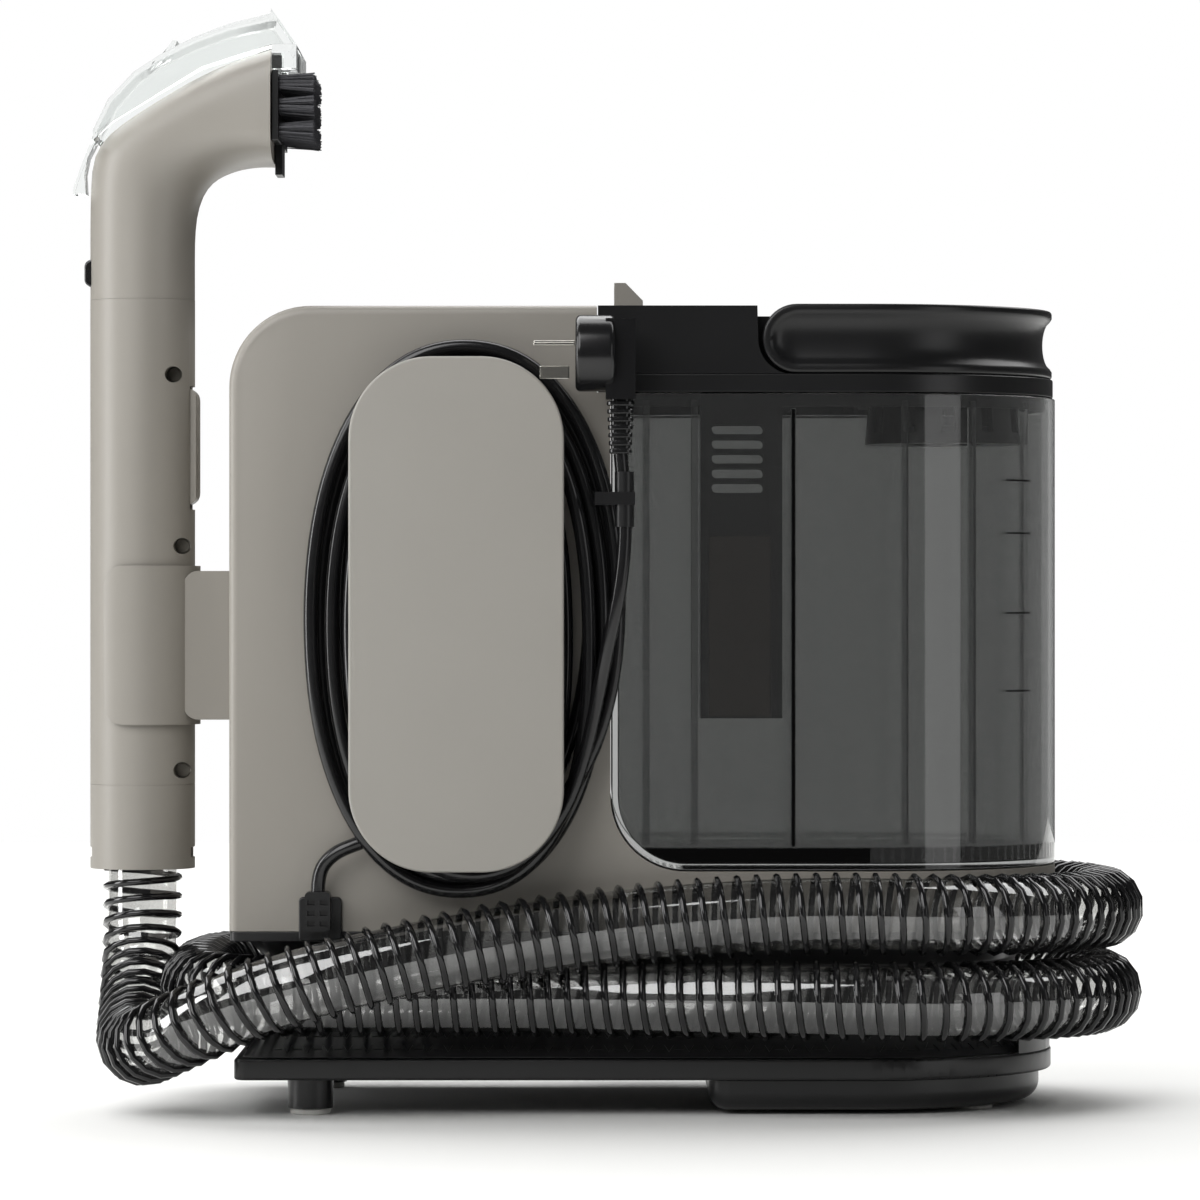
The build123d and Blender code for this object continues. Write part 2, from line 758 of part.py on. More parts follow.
with BuildPart() as head_button:
    with Locations((-230.6, 0, 407.3)):
        Box(11.2, 14, 13.3)
    fillet(head_button.edges().filter_by(Axis.Y).group_by(Axis.X)[0], 3.5)
finish(head_button.part, "head_button")

with BuildPart() as head_window:
    with BuildSketch(Plane.XZ):
        with BuildLine():
            Polyline(
                (-230.3, 476.3), (-223, 491.3), (-210.3, 504.7), (-197.8, 512.5), (-180.5, 520.9),
                (-163.8, 526.8), (-142.5, 531.5), (-142.1, 533.7), (-129.8, 516), (-129.8, 504.6),
                (-142, 504.6), (-142, 516.6), (-176.6, 506.2), (-198.7, 493.4), (-220.8, 480.1),
                (-230.2, 471.2), close=True,
            )
        make_face()
    extrude(amount=50, both=True)
    with BuildSketch(Plane.XY.offset(400)):
        add(fan_plan())
    extrude(amount=140, mode=Mode.INTERSECT)
    with BuildSketch(Plane.XZ):
        with BuildLine():
            Polyline(
                (-228.3, 476.5), (-221.3, 490.2), (-209.1, 502.8), (-196.9, 510.5), (-179.8, 518.9),
                (-163.2, 524.7), (-142.2, 529.3), (-120, 529.3), (-120, 518), (-141, 518),
                (-176.5, 503), (-198.5, 490), (-220.8, 476), (-228.3, 466), close=True,
            )
        make_face()
    extrude(amount=23, both=True, mode=Mode.SUBTRACT)
    with BuildSketch(Plane.XZ):
        with BuildLine():
            Polyline(
                (-231, 476.8), (-228.6, 475.5), (-234.4, 464), (-236, 456), (-235.4, 446),
                (-241.5, 446), (-241.5, 449), (-238.8, 457), close=True,
            )
        make_face()
        with BuildLine():
            Polyline((-203, 508.6), (-192.4, 521.9), (-190.4, 521.5), (-193, 514), close=True)
        make_face()
    extrude(amount=9, both=True)
    with Locations((mouth_x + 3.2, 0, 509)):
        Box(7.6, 25, 11, mode=Mode.SUBTRACT)
finish(head_window.part, "head_window")

with BuildPart() as brush_plate:
    with Locations((mouth_x + 2, 0, 487.1)):
        Box(3.2, 84, 33.8)
    with Locations((mouth_x + 2.2, 0, 463.4)):
        Box(3.6, 22, 16)
finish(brush_plate.part, "brush_plate")

tuft_root_x = mouth_x + 3.6
tuft_length = 17.0
with BuildPart() as brush_tufts:
    for row_z in (475.5, 487.0, 498.5):
        for column in range(9):
            with Locations((tuft_root_x + tuft_length / 2, 9 * (column - 4), row_z)):
                Cylinder(2.3, tuft_length, rotation=(0, 90, 0))
finish(brush_tufts.part, "brush_tufts")

with BuildPart() as spray_nozzle:
    with Locations((mouth_x + 3.2, 0, 509.6)):
        Box(6, 24, 8)
finish(spray_nozzle.part, "spray_nozzle")

# ---------------------------------------------------------------- hose
nose_turn = 49.3
hose_route = [
    (-208, 0, tool_foot_z),
    (-208, 0, 82),
    (-208, -27, 47),
    (-206, -76, 30),
    (-186, -118, 41),
    (-140, -136, 62),
    (-72, -131, 78),
    (15, -116, 92),
    (110, -117, 99),
    (nose_x + nose_turn, -119, 97),
    (nose_x + 119, -nose_turn, 96),
    (nose_x + 119, nose_turn, 96),
    (nose_x + nose_turn, 119, 97),
    (105, 117, 99),
    (18, 118, 99.5),
    (-70, 119, 76),
    (-141, 116, 60),
    (-178, 80, 59),
    (-179.5, 10, 59.5),
    (-177.5, -60, 58),
    (-141, -97, 57.5),
    (-70, -95.5, 57.4),
    (15, -97, 57.2),
    (105, -112, 57),
    (nose_x + nose_turn, -118, 56),
    (nose_x + 118, -nose_turn, 55),
    (nose_x + 118, nose_turn, 55),
    (nose_x + nose_turn, 118, 56),
    (128, port_y, port_z),
    (port_mouth_x, port_y, port_z),
]


def bend_radii(route):
    """Radius of each bend: 0.45 of its shorter run over the tangent of half its turn."""
    radii = []
    for before, here, after in zip(route, route[1:], route[2:]):
        run_in = Vector(*here) - Vector(*before)
        run_out = Vector(*after) - Vector(*here)
        half_turn = radians(run_in.get_angle(run_out)) / 2
        radii.append(0.45 * min(run_in.length, run_out.length) / tan(half_turn))
    return radii


def tube_path(route):
    """Straight runs joined by tangent arcs."""
    with BuildLine() as path:
        FilletPolyline(*route, radius=bend_radii(route))
    return path.line


def report_tube(name, route, path, tube, diameter):
    """Print a tube's bend radii, and its volume over its section times its length."""
    section = pi * diameter**2 / 4
    length = sum(edge.length for edge in path.edges())
    print(f"{name}: length {length:.0f}, radii {[round(radius) for radius in bend_radii(route)]}")
    print(f"{name}: volume ratio {tube.volume / section / length:.4f}")


def start_plane(route):
    """Plane across the first run of a route."""
    return Plane(origin=route[0], z_dir=Vector(*route[1]) - Vector(*route[0]))


hose_path = tube_path(hose_route)
with BuildPart() as hose_tube:
    with BuildSketch(start_plane(hose_route)):
        Circle(hose_d / 2)
    sweep(path=hose_path)
report_tube("hose", hose_route, hose_path, hose_tube.part, hose_d)
finish(hose_tube.part, "hose_tube")

# ---------------------------------------------------------------- mains cord and plug
coil_back_y = -96.5
coil_front_y = -118.0
cord_lift_y = -124.5

lead_route = [
    (gland_x, -104, gland_top_z),
    (gland_x, -104, gland_top_z + 9),
    (gland_x + 6.5, -105.5, gland_top_z + 17.5),
    (gland_x + 16, -106, gland_top_z + 22),
]
tail_route = [
    (17, -117, 203),
    (21, -121.5, 224),
    (26, cord_lift_y, 246),
    (29.2, -124.8, 270),
    (29.2, cord_lift_y, 293),
    (27.2, cord_lift_y, 315.6),
]

lead_path = tube_path(lead_route)
with BuildPart() as mains_lead:
    with BuildSketch(start_plane(lead_route)):
        Circle(cord_d / 2)
    sweep(path=lead_path)
report_tube("mains lead", lead_route, lead_path, mains_lead.part, cord_d)
finish(mains_lead.part, "mains_lead")

tail_path = tube_path(tail_route)
with BuildPart() as mains_tail:
    with BuildSketch(start_plane(tail_route)):
        Circle(cord_d / 2)
    sweep(path=tail_path)
report_tube("mains tail", tail_route, tail_path, mains_tail.part, cord_d)
finish(mains_tail.part, "mains_tail")

with BuildPart() as mains_coil:
    with BuildSketch(Plane.XZ.offset(-coil_back_y)):
        with Locations((cover_x + 4.7, 232)):
            RectangleRounded(154, 260, 76.9)
        with Locations((cover_x, cover_z)):
            RectangleRounded(62, 176, 30, mode=Mode.SUBTRACT)
    extrude(amount=coil_back_y - coil_front_y)
finish(mains_coil.part, "mains_coil")

plug_y = -125.0
plug_z = 362.8
relief_x = 27.2
with BuildPart() as plug_body:
    with Locations((15.2, plug_y, plug_z)):
        Cylinder(18, 18.6, rotation=(0, 90, 0))
    fillet(edges().filter_by(GeomType.CIRCLE), 2.5)
    with Locations((relief_x, plug_y, 360)):
        Box(14, 20, 38)
finish(plug_body.part, "plug_body")

with BuildPart() as plug_pins:
    with Locations((-4, plug_y + 4, plug_z + 5.4), (-4, plug_y - 8, plug_z + 4)):
        Box(19.7, 6.3, 1.6)
    with Locations((-4, plug_y, plug_z - 9)):
        Box(14, 1.6, 6.3)
finish(plug_pins.part, "plug_pins")

with BuildPart() as plug_relief:
    with BuildSketch(Plane.XY.offset(315.6)):
        with Locations((relief_x, cord_lift_y)):
            Circle(6.2)
    with BuildSketch(Plane.XY.offset(341)):
        with Locations((relief_x, plug_y)):
            Circle(6.8)
    loft()
    for ring in range(7):
        with Locations((relief_x, plug_y, 318 + 3.6 * ring)):
            Torus(6.9, 1)
finish(plug_relief.part, "plug_relief")

with BuildPart() as cord_clip:
    with Locations((29, cord_lift_y, 294)):
        Cylinder(4.6, 26)
    with Locations((24.5, cord_lift_y, 294.4)):
        Box(19, 9.6, 6)
    with Locations((29, cord_lift_y, 294)):
        Cylinder(3.4, 30, mode=Mode.SUBTRACT)
finish(cord_clip.part, "cord_clip")
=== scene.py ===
import json
import math
import random

import bmesh
import bpy
from bpy.props import FloatProperty, FloatVectorProperty, IntProperty, PointerProperty
from mathutils import Matrix, Vector


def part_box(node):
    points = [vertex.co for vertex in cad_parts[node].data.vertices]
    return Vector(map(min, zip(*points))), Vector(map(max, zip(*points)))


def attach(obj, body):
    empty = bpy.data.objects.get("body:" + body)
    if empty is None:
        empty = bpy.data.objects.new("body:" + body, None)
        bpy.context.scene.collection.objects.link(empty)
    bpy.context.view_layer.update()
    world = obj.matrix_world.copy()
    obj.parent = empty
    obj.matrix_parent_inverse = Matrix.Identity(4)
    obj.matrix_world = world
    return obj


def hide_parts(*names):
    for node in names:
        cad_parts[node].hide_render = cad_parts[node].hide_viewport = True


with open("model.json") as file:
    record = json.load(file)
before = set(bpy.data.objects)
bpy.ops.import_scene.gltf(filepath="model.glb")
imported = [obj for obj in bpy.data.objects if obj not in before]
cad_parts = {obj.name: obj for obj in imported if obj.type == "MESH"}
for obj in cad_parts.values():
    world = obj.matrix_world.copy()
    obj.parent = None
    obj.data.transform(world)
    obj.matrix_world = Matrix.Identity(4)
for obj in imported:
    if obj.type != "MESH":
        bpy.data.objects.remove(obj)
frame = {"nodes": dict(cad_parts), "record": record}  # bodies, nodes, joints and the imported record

bl_info = {
    "name": "Carpet cleaner machine",
    "version": (1, 0, 0),
    "blender": (4, 5, 0),
    "location": "3D View > Sidebar > Carpet cleaner",
    "description": "Builds the visible pieces of a portable carpet cleaner around its packed frame",
    "category": "Object",
}

MM = 0.001
NODES = frame["nodes"]
BODIES = frame["record"]["behaviour"]["bodies"]
BODY_OF = {node: body for body, members in BODIES.items() for node in members}
SLOT_OF = {part["node"]: part["material_slot"] for part in frame["record"]["subparts"]}
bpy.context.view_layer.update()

# Plan of the body, in millimetres: straight sides that end in a half circle at the nose.
BODY_LEFT = -159.5
BODY_HALF = 95.0
NOSE_X = 146.5
TANK_LEFT = 23.0
TANK_INSIDE = 91.0
LID_UNDERSIDE = 345.4


def at(x, y, z):
    """A point given in millimetres."""
    return Vector((x, y, z)) * MM


def linear(code):
    """An sRGB hex code as linear red, green and blue."""
    channels = [int(code[i : i + 2], 16) / 255 for i in (1, 3, 5)]
    return tuple(c / 12.92 if c <= 0.04045 else ((c + 0.055) / 1.055) ** 2.4 for c in channels)


# ------------------------------------------------------------------ settings
class FinishSettings(bpy.types.PropertyGroup):
    """Colours of the mouldings."""

    taupe: FloatVectorProperty(
        name="Housing colour",
        description="Taupe of the housing and tool",
        subtype="COLOR",
        default=linear("#8A867F"),
    )
    cover: FloatVectorProperty(
        name="Cover colour",
        description="Taupe of the cord cover",
        subtype="COLOR",
        default=linear("#928F89"),
    )
    black: FloatVectorProperty(
        name="Black moulding",
        description="Colour of lid, handle and base",
        subtype="COLOR",
        default=linear("#131314"),
    )
    smoke: FloatVectorProperty(
        name="Tank tint",
        description="Tint of the smoky tank wall",
        subtype="COLOR",
        default=linear("#AAABAA"),
    )


class HoseSettings(bpy.types.PropertyGroup):
    """Sizes of the suction hose."""

    film: FloatProperty(
        name="Film diameter", description="Outside of the clear film", default=0.0338, unit="LENGTH"
    )
    wire: FloatProperty(
        name="Wire thickness", description="Thickness of the helix", default=0.0034, unit="LENGTH"
    )
    pitch: FloatProperty(
        name="Helix pitch", description="Distance between turns", default=0.0092, unit="LENGTH"
    )


class CordSettings(bpy.types.PropertyGroup):
    """Sizes of the mains cord."""

    thickness: FloatProperty(
        name="Cord diameter", description="Outside of the flex", default=0.0068, unit="LENGTH"
    )
    turns: IntProperty(
        name="Turns", description="Turns wound round the cord post", default=8, min=3, max=8
    )


class BrushSettings(bpy.types.PropertyGroup):
    """Bristles of the tool's brush."""

    per_tuft: IntProperty(
        name="Bristles per tuft", description="How many bristles a tuft holds", default=46
    )
    length: FloatProperty(
        name="Bristle length", description="Free length of a bristle", default=0.0178, unit="LENGTH"
    )
    seed: IntProperty(name="Seed", description="Seed of the bristle scatter", default=7)


class StageSettings(bpy.types.PropertyGroup):
    """Camera and lights."""

    distance: FloatProperty(
        name="Camera distance", description="To the middle plane", default=2.844, unit="LENGTH"
    )
    height: FloatProperty(
        name="Camera height", description="Above the floor", default=0.2465, unit="LENGTH"
    )
    side: FloatProperty(
        name="Camera offset", description="Right of the frame's origin", default=0.0175, unit="LENGTH"
    )
    lens: FloatProperty(name="Focal length", description="On a 36 mm wide sensor", default=173.0)
    key: FloatProperty(name="Key light", description="Power of the softbox in watts", default=35.0)
    ambient: FloatProperty(name="Ambient", description="Light from all round", default=0.07)


# ------------------------------------------------------------------ node and mesh helpers
def add_node(tree, kind, links=None, **settings):
    """Add a node; links maps its input names or numbers to a socket or a value."""
    made = tree.nodes.new(kind)
    for name, value in settings.items():
        setattr(made, name, value)
    for name, value in (links or {}).items():
        socket = made.inputs[name]
        if isinstance(value, bpy.types.NodeSocket):
            tree.links.new(value, socket)
        else:
            socket.default_value = value
    return made


def new_material(name, color, roughness, **sockets):
    """A Principled material with its constant values set on the shader itself."""
    material = bpy.data.materials.new(name)
    material.use_nodes = True
    shader = material.node_tree.nodes["Principled BSDF"]
    shader.inputs["Base Color"].default_value = (*color[:3], 1)
    shader.inputs["Roughness"].default_value = roughness
    for label, value in sockets.items():
        shader.inputs[label.replace("_", " ")].default_value = value
    return material, material.node_tree, shader


def object_noise(tree, size_mm, detail):
    """Noise on object coordinates; size is the distance between its spots."""
    place = add_node(tree, "ShaderNodeTexCoord")
    return add_node(
        tree,
        "ShaderNodeTexNoise",
        {"Vector": place.outputs["Object"], "Scale": 1 / (size_mm * MM), "Detail": detail},
    )


def add_grain(tree, shader, size_mm, depth_mm, strength):
    """Bump of fine grains."""
    noise = object_noise(tree, size_mm, 2.0)
    bump = add_node(
        tree,
        "ShaderNodeBump",
        {"Height": noise.outputs["Fac"], "Distance": depth_mm * MM, "Strength": strength},
    )
    tree.links.new(bump.outputs["Normal"], shader.inputs["Normal"])


def add_mottle(tree, shader, color, size_mm, spread, rough=None, rough_spread=0.0):
    """Slow colour and gloss changes, as on a large moulding."""
    noise = object_noise(tree, size_mm, 3.0)
    dark = tuple(c * (1 - spread) for c in color[:3])
    light = tuple(min(1, c * (1 + spread)) for c in color[:3])
    blend = mix_color(tree, noise.outputs["Fac"], dark, light)
    tree.links.new(blend, shader.inputs["Base Color"])
    if rough is not None:
        gloss = add_node(
            tree,
            "ShaderNodeMapRange",
            {"Value": noise.outputs["Fac"], "To Min": rough - rough_spread, "To Max": rough + rough_spread},
        )
        tree.links.new(gloss.outputs["Result"], shader.inputs["Roughness"])


def mix_color(tree, factor, first, second):
    """Colour between two, by a factor socket."""
    mixer = add_node(tree, "ShaderNodeMix", {0: factor}, data_type="RGBA")
    mixer.inputs[6].default_value = (*first[:3], 1)
    mixer.inputs[7].default_value = (*second[:3], 1)
    return mixer.outputs[2]


# ------------------------------------------------------------------ finishes
def taupe_abs(name, color):
    """Moulded ABS with a spark-eroded grain: a soft, slightly broken highlight."""
    material, tree, shader = new_material(name, color, 0.42, IOR=1.53)
    add_mottle(tree, shader, color, 60, 0.025, 0.42, 0.03)
    add_grain(tree, shader, 0.55, 0.05, 0.35)
    return material


def black_abs():
    """Moulded black ABS, satin: a broad soft highlight on a near-black ground."""
    color = bpy.context.scene.cleaner_finish.black
    material, tree, shader = new_material("black_abs_satin", color, 0.3, IOR=1.46)
    add_mottle(tree, shader, color, 45, 0.08, 0.3, 0.03)
    add_grain(tree, shader, 0.5, 0.03, 0.3)
    return material


def polished_black():
    """Polished black ABS: sharper reflections than the satin mouldings."""
    material, tree, shader = new_material("black_abs_polished", linear("#141415"), 0.16, IOR=1.53)
    add_grain(tree, shader, 3.0, 0.01, 0.15)
    return material


def smoke_san():
    """Smoky SAN, injection moulded and polished: dark to look through, bright at its edges."""
    color = bpy.context.scene.cleaner_finish.smoke
    material, tree, shader = new_material("smoky_san_moulded", color, 0.03, IOR=1.5)
    shader.inputs["Transmission Weight"].default_value = 1.0
    add_mottle(tree, shader, color, 90, 0.03)
    return material


def clear_polycarbonate():
    """Clear moulded polycarbonate with faint flow waves."""
    material, tree, shader = new_material("polycarbonate_clear", linear("#F4F6F5"), 0.05, IOR=1.3)
    shader.inputs["Transmission Weight"].default_value = 1.0
    add_grain(tree, shader, 12, 0.04, 0.1)
    return material


def hose_film():
    """Clear extruded PVC film: thin, so it barely bends light, with a gloss of its own."""
    color = linear("#BDBDBB")
    material, tree, shader = new_material("pvc_film_extruded", color, 0.05, IOR=1.01)
    shader.inputs["Transmission Weight"].default_value = 1.0
    shader.inputs["Coat Weight"].default_value = 1.0
    shader.inputs["Coat Roughness"].default_value = 0.06
    shader.inputs["Coat IOR"].default_value = 2.1
    add_mottle(tree, shader, color, 30, 0.03)
    return material


def black_pvc(name, roughness, grain_mm):
    """Extruded black PVC: glossy, with a fine drag grain."""
    color = linear("#131314")
    material, tree, shader = new_material(name, color, roughness, IOR=1.5)
    add_mottle(tree, shader, color, 25, 0.1, roughness, 0.03)
    add_grain(tree, shader, grain_mm, 0.02, 0.3)
    return material


def grey_rubber():
    """Soft moulded rubber: matt and slightly dusty."""
    color = linear("#B9B8B4")
    material, tree, shader = new_material("rubber_moulded_grey", color, 0.7)
    add_mottle(tree, shader, color, 8, 0.06)
    add_grain(tree, shader, 0.4, 0.05, 0.4)
    return material


def nylon_bristle():
    """Drawn nylon filament, dark grey with a soft sheen."""
    color = linear("#4A4A4E")
    material, tree, shader = new_material("nylon_filament_drawn", color, 0.38)
    add_mottle(tree, shader, color, 2, 0.45, 0.38, 0.05)
    return material


def plated_metal(name, code, roughness):
    """Plated metal with fine turning marks."""
    color = linear(code)
    material, tree, shader = new_material(name, color, roughness)
    shader.inputs["Metallic"].default_value = 1.0
    add_mottle(tree, shader, color, 4, 0.06, roughness, 0.05)
    add_grain(tree, shader, 0.35, 0.01, 0.25)
    return material


def plain_moulding(name, code, roughness, grain_mm):
    """Unpolished inner moulding."""
    color = linear(code)
    material, tree, shader = new_material(name, color, roughness)
    add_mottle(tree, shader, color, 20, 0.06, roughness, 0.04)
    add_grain(tree, shader, grain_mm, 0.05, 0.3)
    return material


FINISH = {}
# These screws get a dark grey-taupe colour: painted shade of the recesses they sit in.
DARK_SCREWS = ("tool_screws", "housing_screws")


class CLEANER_OT_finishes(bpy.types.Operator):
    """Make every material once and give it to the frame's own pieces"""

    bl_idname = "cleaner.finishes"
    bl_label = "Finishes"

    def execute(self, context):
        colors = context.scene.cleaner_finish
        FINISH.update(
            taupe_abs=taupe_abs("taupe_abs_spark_grain", colors.taupe),
            cover_taupe=taupe_abs("taupe_abs_smooth", colors.cover),
            black_satin=black_abs(),
            black_gloss=polished_black(),
            smoke_clear=smoke_san(),
            clear_plastic=clear_polycarbonate(),
            hose=hose_film(),
            hose_wire=black_pvc("pvc_coated_wire_black", 0.07, 3.0),
            pvc_cord=black_pvc("pvc_flex_black", 0.2, 0.6),
            grey_rubber=grey_rubber(),
            bristle=nylon_bristle(),
            plug_metal=plated_metal("brass_nickel_plated", "#C9C6BE", 0.22),
            steel=plated_metal("steel_zinc_plated", "#A8A9AB", 0.3),
            # The dark colour of this screw finish is painted shade of the screw recesses.
            screw=plated_metal("steel_painted_recess_shade", "#5A5751", 0.4),
            motor_metal=plated_metal("steel_pressed", "#8F9092", 0.4),
            brown_panel=plain_moulding("elastomer_brown", "#3A322B", 0.5, 0.6),
            circuit=plain_moulding("circuit_laminate_green", "#1F4D2B", 0.4, 0.5),
            inner_grey=plain_moulding("polypropylene_grey", "#55565A", 0.5, 0.6),
        )
        for name, node in NODES.items():
            node.data.materials.clear()
            node.data.materials.append(FINISH["screw" if name in DARK_SCREWS else SLOT_OF[name]])
        return {"FINISHED"}


# ------------------------------------------------------------------ making pieces
def link_piece(name, mesh, finish, body):
    """A new object with its mesh in place, riding on a body."""
    piece = bpy.data.objects.new(name, mesh)
    bpy.context.scene.collection.objects.link(piece)
    if finish is not None:
        piece.data.materials.clear()
        piece.data.materials.append(finish)
    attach(piece, body)
    return piece


def smooth_faces(work, sharp_degrees):
    """Shade every face smooth, except across edges sharper than the angle."""
    for face in work.faces:
        face.smooth = True
    for edge in work.edges:
        bent = len(edge.link_faces) == 2 and edge.calc_face_angle(0) > math.radians(sharp_degrees)
        edge.smooth = not bent


def mesh_of(work, name):
    """End a bmesh as a named mesh."""
    mesh = bpy.data.meshes.new(name)
    work.to_mesh(mesh)
    work.free()
    return mesh


def refine(node, edge_mm):
    """Put a skin in a node's place: its triangles joined, smooth faces and softened edges."""
    name = node + "_skin"
    mesh = NODES[node].data.copy()
    mesh.name = name
    work = bmesh.new()
    work.from_mesh(mesh)
    bmesh.ops.remove_doubles(work, verts=work.verts, dist=0.01 * MM)
    bmesh.ops.dissolve_limit(work, angle_limit=math.radians(0.4), verts=work.verts, edges=work.edges)
    smooth_faces(work, 32)
    work.to_mesh(mesh)
    work.free()
    slot = SLOT_OF[node]
    piece = link_piece(name, mesh, FINISH[slot], BODY_OF[node])
    bevel = piece.modifiers.new("soft_edges", "BEVEL")
    bevel.width = edge_mm * MM
    bevel.segments = 2
    bevel.limit_method = "ANGLE"
    bevel.angle_limit = math.radians(35)
    bevel.miter_outer = "MITER_ARC"
    bevel.harden_normals = True
    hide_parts(node)


EDGE_WIDTHS = {  # millimetres that each moulding's edges are softened by
    "housing_near": 0.5, "housing_far": 0.5, "base_rim": 0.6, "hose_cradle": 0.8, "base_plate": 0.8,
    "bottom_pod": 0.8, "foot_pads": 0.8, "cord_post": 0.6, "cord_cover": 1.0, "cord_inlet_plate": 0.8,
    "tool_clip": 0.9, "clip_post": 1.5, "hose_port": 1.0, "button_bezel": 0.5, "power_button": 0.6,
    "lid_base": 0.8, "lid_cover": 1.0, "release_lever": 1.4, "inlet_duct": 0.6, "duct_panel": 0.3,
    "float_basket": 0.5, "float_disc": 0.6, "tank_base": 0.5, "tank_partition": 0.4, "tank_shell": 0.6,
    "tool_shell_near": 0.4, "tool_shell_far": 0.4, "tool_collar": 0.5, "trigger": 2.2,
    "head_button": 1.0, "head_window": 0.8, "brush_plate": 0.8, "spray_nozzle": 0.6, "plug_body": 1.4,
    "plug_pins": 0.5, "cord_clip": 0.7, "lid_pins": 0.4,
}


class CLEANER_OT_shells(bpy.types.Operator):
    """Soften the edges of the housing, base, lid, tank and tool mouldings"""

    bl_idname = "cleaner.shells"
    bl_label = "Housing and mouldings"

    def execute(self, context):
        for node, width in EDGE_WIDTHS.items():
            refine(node, width)
        return {"FINISHED"}


# ------------------------------------------------------------------ curves
def nurbs_curve(name, points, bevel_mm, finish, resolution):
    """One open NURBS spline of order 3 that ends on its first and last points."""
    curve = bpy.data.curves.new(name, "CURVE")
    curve.dimensions = "3D"
    spline = curve.splines.new("NURBS")
    spline.points.add(len(points) - 1)
    for point, place in zip(spline.points, points):
        point.co = (*(Vector(place) * MM), 1)
    spline.order_u = 3
    spline.use_endpoint_u = True
    spline.resolution_u = resolution
    curve.resolution_u = resolution
    curve.bevel_depth = bevel_mm * MM
    curve.bevel_resolution = 10 if bevel_mm > 10 else 4
    curve.use_fill_caps = bevel_mm > 0
    curve.materials.append(finish)
    piece = bpy.data.objects.new(name, curve)
    bpy.context.scene.collection.objects.link(piece)
    return piece


def plain_mesh_of(holder, name):
    """The evaluated result of an object as a plain mesh; the holder is removed."""
    bpy.context.view_layer.update()
    graph = bpy.context.evaluated_depsgraph_get()
    mesh = bpy.data.meshes.new_from_object(holder.evaluated_get(graph), depsgraph=graph)
    mesh.name = name
    data = holder.data
    bpy.data.objects.remove(holder)
    if isinstance(data, bpy.types.Curve):
        bpy.data.curves.remove(data)
    return mesh


def new_tree(name, inputs):
    """A Geometry Nodes tree with a geometry socket and named inputs."""
    tree = bpy.data.node_groups.new(name, "GeometryNodeTree")
    tree.interface.new_socket("Geometry", in_out="INPUT", socket_type="NodeSocketGeometry")
    for label, kind in inputs.items():
        tree.interface.new_socket(label, in_out="INPUT", socket_type=kind)
    tree.interface.new_socket("Geometry", in_out="OUTPUT", socket_type="NodeSocketGeometry")
    return tree, tree.nodes.new("NodeGroupInput"), tree.nodes.new("NodeGroupOutput")


def use_tree(holder, tree, values):
    """Add the tree as a modifier and set its inputs by socket identifier."""
    modifier = holder.modifiers.new(tree.name, "NODES")
    modifier.node_group = tree
    for item in tree.interface.items_tree:
        if item.in_out == "INPUT" and item.name in values:
            modifier[item.identifier] = values[item.name]


def close_tree(tree, geometry, material, group_out):
    """Realize the instances, set the material and end the tree."""
    real = add_node(tree, "GeometryNodeRealizeInstances", {"Geometry": geometry})
    painted = add_node(
        tree, "GeometryNodeSetMaterial", {"Geometry": real.outputs[0], "Material": material}
    )
    tree.links.new(painted.outputs[0], group_out.inputs[0])


def helix_tree():
    """A wire wound round a centreline at a given pitch and radius."""
    kinds = dict.fromkeys(("Pitch", "Radius", "Wire radius"), "NodeSocketFloat")
    tree, given, group_out = new_tree("wire_helix", {**kinds, "Material": "NodeSocketMaterial"})
    step = add_node(tree, "ShaderNodeMath", {0: given.outputs["Pitch"], 1: 14.0}, operation="DIVIDE")
    fine = add_node(
        tree, "GeometryNodeResampleCurve", {"Curve": given.outputs["Geometry"]}, mode="LENGTH"
    )
    tree.links.new(step.outputs[0], fine.inputs["Length"])
    along = add_node(tree, "GeometryNodeSplineParameter")
    turns = add_node(
        tree, "ShaderNodeMath", {0: along.outputs["Length"], 1: given.outputs["Pitch"]}, operation="DIVIDE"
    )
    angle = add_node(tree, "ShaderNodeMath", {0: turns.outputs[0], 1: math.tau}, operation="MULTIPLY")
    normal = add_node(tree, "GeometryNodeInputNormal")
    tangent = add_node(tree, "GeometryNodeInputTangent")
    turned = add_node(
        tree,
        "ShaderNodeVectorRotate",
        {"Vector": normal.outputs[0], "Axis": tangent.outputs[0], "Angle": angle.outputs[0]},
    )
    offset = add_node(tree, "ShaderNodeVectorMath", {0: turned.outputs[0]}, operation="SCALE")
    tree.links.new(given.outputs["Radius"], offset.inputs["Scale"])
    moved = add_node(
        tree, "GeometryNodeSetPosition", {"Geometry": fine.outputs[0], "Offset": offset.outputs[0]}
    )
    ring = add_node(
        tree, "GeometryNodeCurvePrimitiveCircle", {"Resolution": 6, "Radius": given.outputs["Wire radius"]}
    )
    wire = add_node(
        tree,
        "GeometryNodeCurveToMesh",
        {"Curve": moved.outputs[0], "Profile Curve": ring.outputs[0], "Fill Caps": True},
    )
    smooth = add_node(tree, "GeometryNodeSetShadeSmooth", {"Geometry": wire.outputs[0]})
    close_tree(tree, smooth.outputs[0], given.outputs["Material"], group_out)
    return tree


